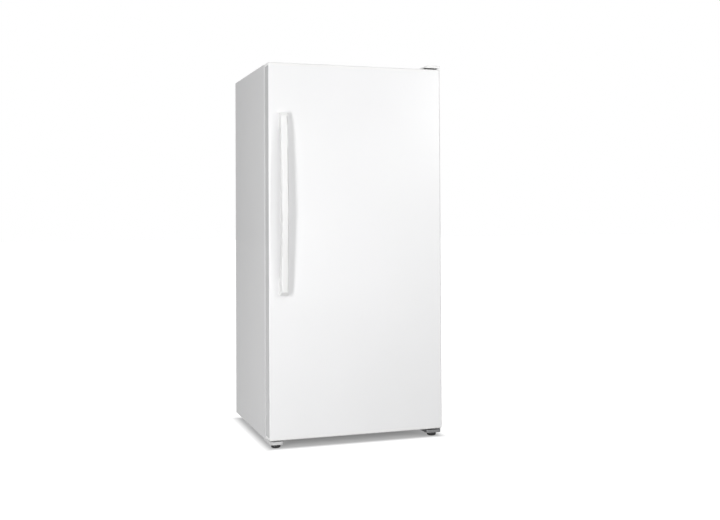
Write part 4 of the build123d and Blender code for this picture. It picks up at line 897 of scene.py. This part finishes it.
class FREEZER_OT_controls(Operator):
    """Finish the control box, lens and switch, and make the ribbed knob and its dial marks"""

    bl_idname = "freezer.controls"
    bl_label = "Controls"

    def execute(self, context):
        tones = context.scene.freezer_colours
        box = moulded("control_plastic", tones.liner, roughness=0.34, grain=600.0, depth=0.06)
        paint(box, "control_box")
        paint(frosted("lens_plastic", tones.lens), "lamp_lens")
        grey = moulded("small_plastic", tones.small, roughness=0.38)
        paint(grey, "light_switch_body", "light_switch_button")
        low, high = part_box("control_knob")
        reach = (high.x - low.x) / 2
        x, z, front = (low.x + high.x) / 2, (low.z + high.z) / 2, low.y
        face = front + KNOB_LENGTH
        mesh = bmesh.new()
        outline = [(reach * radius, along) for radius, along in KNOB_OUTLINE]
        turn(mesh, outline, (x, face, z), (0, -1, 0), KNOB_SEGMENTS, KNOB_RIBS)
        start = (x - POINTER_HALF, front, z + POINTER_START)
        end = (x + POINTER_HALF, front + POINTER_DEPTH, z + POINTER_END)
        plate(mesh, start, end, POINTER_BEVEL)
        start, end = (x - SHAFT_HALF, face, z - SHAFT_HALF), (x + SHAFT_HALF, high.y, z + SHAFT_HALF)
        plate(mesh, start, end, SHAFT_BEVEL)
        finished("control_dial", mesh, grey, "control_knob", ("control_knob",))
        mesh = bmesh.new()
        self.marks(mesh, Vector((x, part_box("control_box")[0].y, z)), reach + MARK_GAP)
        black = moulded("mark_print", tones.dark, roughness=0.5)
        finished("dial_marks", mesh, black, "cabinet", (), smooth=False)
        return {"FINISHED"}

    def marks(self, mesh, middle, radius):
        """Tapered marks round the knob that grow wider from the first to the last, raised a little."""
        for index in range(MARKS):
            share = index / (MARKS - 1)
            angle = math.radians(MARK_SWEEP * (2 * share - 1))
            outward = Vector((math.sin(angle), 0, math.cos(angle)))
            across = Vector((math.cos(angle), 0, -math.sin(angle))) * MARK_HALF * (1 + share)
            if abs(outward.z) * (radius + MARK_ROOM) > MARK_LIMIT:
                continue
            near = middle + outward * radius
            far = near + outward * MARK_LENGTH
            narrow = across * MARK_TAPER
            corners = [near - across, near + across, far + narrow, far - narrow]
            top = [mesh.verts.new(corner - Vector((0, MARK_RISE, 0))) for corner in corners]
            root = [mesh.verts.new(corner + Vector((0, MARK_ROOT, 0))) for corner in corners]
            skin(mesh, [top, root])


SHELL_RADIUS = 0.078
SHELL_FOOT = 0.003  # thickness of the compressor's foot plate
SHELL_FOOT_BEVEL = 0.001
SHELL_BEND = 0.024  # height of the rounded bottom
BEND_SHARE = 0.8  # share of the radius at which the bottom starts to round
SHELL_SEGMENTS = 72
SEAM_LIP = 0.0029  # how far the welded seam stands out
SHOULDER = 0.66  # share of the height at which the dome starts
CROWN = 0.36  # share of the radius at the dome's top
DOME_STEPS = 8


class FREEZER_OT_machine(Operator):
    """Finish the compressor compartment and make the compressor's welded dome"""

    bl_idname = "freezer.machine"
    bl_label = "Compressor Compartment"

    def execute(self, context):
        tones = context.scene.freezer_colours
        paint(moulded("rubber_mounts", tones.dark, roughness=0.7), "compressor_grommets")
        tube = plated("copper_tube", tones.copper, roughness=0.3, stretch=(6.0, 6.0, 1.0), grain=60.0)
        paint(tube, "discharge_tube", "suction_tube")
        drier = plated("drier_copper", tones.copper, roughness=0.36, stretch=(1.0, 1.0, 8.0), grain=90.0)
        paint(drier, "filter_drier")
        dark = moulded("dark_moulding", tones.dark, roughness=0.42)
        paint(dark, "terminal_cover", "drain_pan", "mains_gland")
        low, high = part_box("compressor")
        middle = (low + high) / 2
        mesh = bmesh.new()
        outline = self.outline(SHELL_RADIUS, high.z - low.z)
        turn(mesh, outline, (middle.x, middle.y, low.z), (0, 0, 1), SHELL_SEGMENTS)
        plate(mesh, low, (high.x, high.y, low.z + SHELL_FOOT), SHELL_FOOT_BEVEL)
        black = enamel("compressor_enamel", tones.compressor, texture=0.2, roughness=0.28)
        finished("compressor_shell", mesh, black, "cabinet", ("compressor",))
        return {"FINISHED"}

    def outline(self, reach, tall):
        """The shell's (radius, height) pairs: rounded bottom, seam, straight wall and dome."""
        outline = [(0.03, SHELL_FOOT), (BEND_SHARE * reach, SHELL_FOOT + 0.0005)]
        for angle in (0.5, 1.0, math.pi / 2):
            radius = reach * (BEND_SHARE + (1 - BEND_SHARE) * math.sin(angle))
            outline.append((radius, SHELL_FOOT + SHELL_BEND * (1 - math.cos(angle))))
        outline += [(reach, tall * 0.305), (reach + SEAM_LIP, tall * 0.308), (reach + SEAM_LIP, tall * 0.34)]
        outline += [(reach, tall * 0.343), (reach, tall * SHOULDER)]
        for step in range(1, DOME_STEPS + 1):
            angle = math.radians(90 * step / DOME_STEPS)
            radius = reach * (CROWN + (1 - CROWN) * math.cos(angle))
            outline.append((radius, tall * (SHOULDER + (1 - SHOULDER) * math.sin(angle))))
        return outline


# Each lamp: the setting that holds its power, its place, what it points at, and its width and height.
LAMPS = (
    ("key", (-2.75, -2.8, 1.0), (-0.1, -0.2, 0.8), (0.6, 1.7)),
    ("fill", (2.4, -3.8, 2.0), (0, -0.3, 0.8), (0.6, 1.0)),
    ("front", (0.9, -6.5, 0.7), (0, -0.3, 0.7), (4.5, 2.6)),
    ("top", (0.0, -1.6, 3.4), (0, -0.3, 1.2), (1.8, 1.2)),
)
CAMERA_PLACE = (-1.3901, -4.5128, 1.0052)
CAMERA_TURN = (91.03, 0.29, -18.56)  # degrees
CAMERA_SHIFT = -0.0836  # vertical, as a share of the picture's width
FLOOR_REACH = 40.0  # half of the floor's width
FLOOR_TONE = (0.34, 0.34, 0.34)

# How white the floor looks across the footprint's edge, from the inside out, which paints a shadow there on
# top of the real one: (place in the band, grey).
PAINTED_SHADOW_EDGE = 0.55  # the edge's place
PAINTED_SHADOW_STOPS = ((0.0, 0.2), (0.48, 0.33), (0.68, 1.0))


class FREEZER_OT_stage(Operator):
    """Set the floor, lamps, world and camera"""

    bl_idname = "freezer.stage"
    bl_label = "Studio"

    def execute(self, context):
        scene, sizes = context.scene, context.scene.freezer_stage
        scene.view_settings.view_transform = "Standard"
        self.floor(scene, sizes)
        self.world(scene, sizes)
        for name, place, target, size in LAMPS:
            self.lamp(scene, name, place, target, size, getattr(sizes, name))
        self.camera(scene, sizes)
        return {"FINISHED"}

    def floor(self, scene, sizes):
        """A floor that looks whiter, but casts no more light, with distance from the freezer's footprint, so
        that a painted shadow lies along the footprint's edge on top of the real one.
        """
        mesh = bmesh.new()
        bmesh.ops.create_grid(mesh, x_segments=8, y_segments=8, size=FLOOR_REACH)
        data = bpy.data.meshes.new("studio_floor")
        mesh.to_mesh(data)
        mesh.free()
        floor = bpy.data.objects.new("studio_floor", data)
        scene.collection.objects.link(floor)
        sweep = Finish("studio_floor", Base_Color=FLOOR_TONE, Roughness=0.9, Specular_IOR_Level=0.1)
        low, high = (CAD_BOX[0].x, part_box("door_skin")[0].y), CAD_BOX[1]
        spot = sweep.node("ShaderNodeSeparateXYZ", None, sweep.place())
        gaps = []
        for axis in (0, 1):
            along = Value(sweep, spot.output.node.outputs[axis]) - (low[axis] + high[axis]) / 2
            gaps.append(abs(along) - (high[axis] - low[axis]) / 2)
        # Painted shadow: the glow that the floor shows drops near the footprint.
        away = gaps[0].most(gaps[1]) * (1.0 / sizes.painted_shadow_width) + PAINTED_SHADOW_EDGE
        seen = sweep.seen()
        painted_shadow_glow = sweep.tint(seen, (0, 0, 0), sweep.ramp(away, *PAINTED_SHADOW_STOPS))
        sweep.wear(Emission_Strength=1.0, Emission_Color=painted_shadow_glow)
        data.materials.append(sweep.material)

    def world(self, scene, sizes):
        """White where it is seen, mirrored or seen through, and dimmer as a light."""
        world = bpy.data.worlds.new("studio_world")
        world.use_nodes = True
        scene.world = world
        sky = NodeMaker(world.node_tree)
        dim = sky.node("ShaderNodeBackground", Color=(1.0, 1.0, 1.0), Strength=sizes.ambient)
        plain = sky.node("ShaderNodeBackground", Color=(1.0, 1.0, 1.0), Strength=1.0)
        both = sky.node("ShaderNodeMixShader", None, sky.seen(), dim, plain)
        sky.set(sky.tree.nodes["World Output"], {"Surface": both})

    def lamp(self, scene, name, place, target, size, watts):
        data = bpy.data.lights.new(f"{name}_lamp", "AREA")
        data.shape = "RECTANGLE"
        data.size, data.size_y = size
        data.energy = watts
        lamp = bpy.data.objects.new(f"{name}_lamp", data)
        lamp.location = place
        lamp.rotation_euler = (Vector(target) - Vector(place)).to_track_quat("-Z", "Y").to_euler()
        scene.collection.objects.link(lamp)

    def camera(self, scene, sizes):
        data = bpy.data.cameras.new("photo_camera")
        data.lens = sizes.focal
        data.shift_y = CAMERA_SHIFT
        camera = bpy.data.objects.new("photo_camera", data)
        camera.location = CAMERA_PLACE
        camera.rotation_euler = [math.radians(angle) for angle in CAMERA_TURN]
        scene.collection.objects.link(camera)
        scene.camera = camera


class FREEZER_PT_looks(Panel):
    """Lists the freezer's pieces and settings in the sidebar"""

    bl_idname = "FREEZER_PT_looks"
    bl_label = "Upright Freezer"
    bl_space_type = "VIEW_3D"
    bl_region_type = "UI"
    bl_category = "Freezer"

    def draw(self, context):
        column = self.layout.column()
        for made in STEPS:
            column.operator(made.bl_idname)
        scene = context.scene
        for group in (scene.freezer_colours, scene.freezer_wires, scene.freezer_stage):
            box = self.layout.box()
            for name in group.__annotations__:
                box.prop(group, name)


STEPS = (
    FREEZER_OT_cabinet,
    FREEZER_OT_door,
    FREEZER_OT_seal,
    FREEZER_OT_feet,
    FREEZER_OT_rollers,
    FREEZER_OT_shelves,
    FREEZER_OT_basket,
    FREEZER_OT_cold_parts,
    FREEZER_OT_controls,
    FREEZER_OT_machine,
    FREEZER_OT_stage,
)
CLASSES = (FreezerColours, FreezerWires, FreezerStage, *STEPS, FREEZER_PT_looks)


def register():
    for made in CLASSES:
        bpy.utils.register_class(made)
    bpy.types.Scene.freezer_colours = PointerProperty(type=FreezerColours)
    bpy.types.Scene.freezer_wires = PointerProperty(type=FreezerWires)
    bpy.types.Scene.freezer_stage = PointerProperty(type=FreezerStage)


def unregister():
    del bpy.types.Scene.freezer_stage
    del bpy.types.Scene.freezer_wires
    del bpy.types.Scene.freezer_colours
    for made in reversed(CLASSES):
        bpy.utils.unregister_class(made)


def main():
    register()
    for step in STEPS:
        group, name = step.bl_idname.split(".")
        if getattr(getattr(bpy.ops, group), name)() != {"FINISHED"}:
            raise RuntimeError(f"{step.bl_label} didn't finish")


if __name__ == "__main__":
    main()
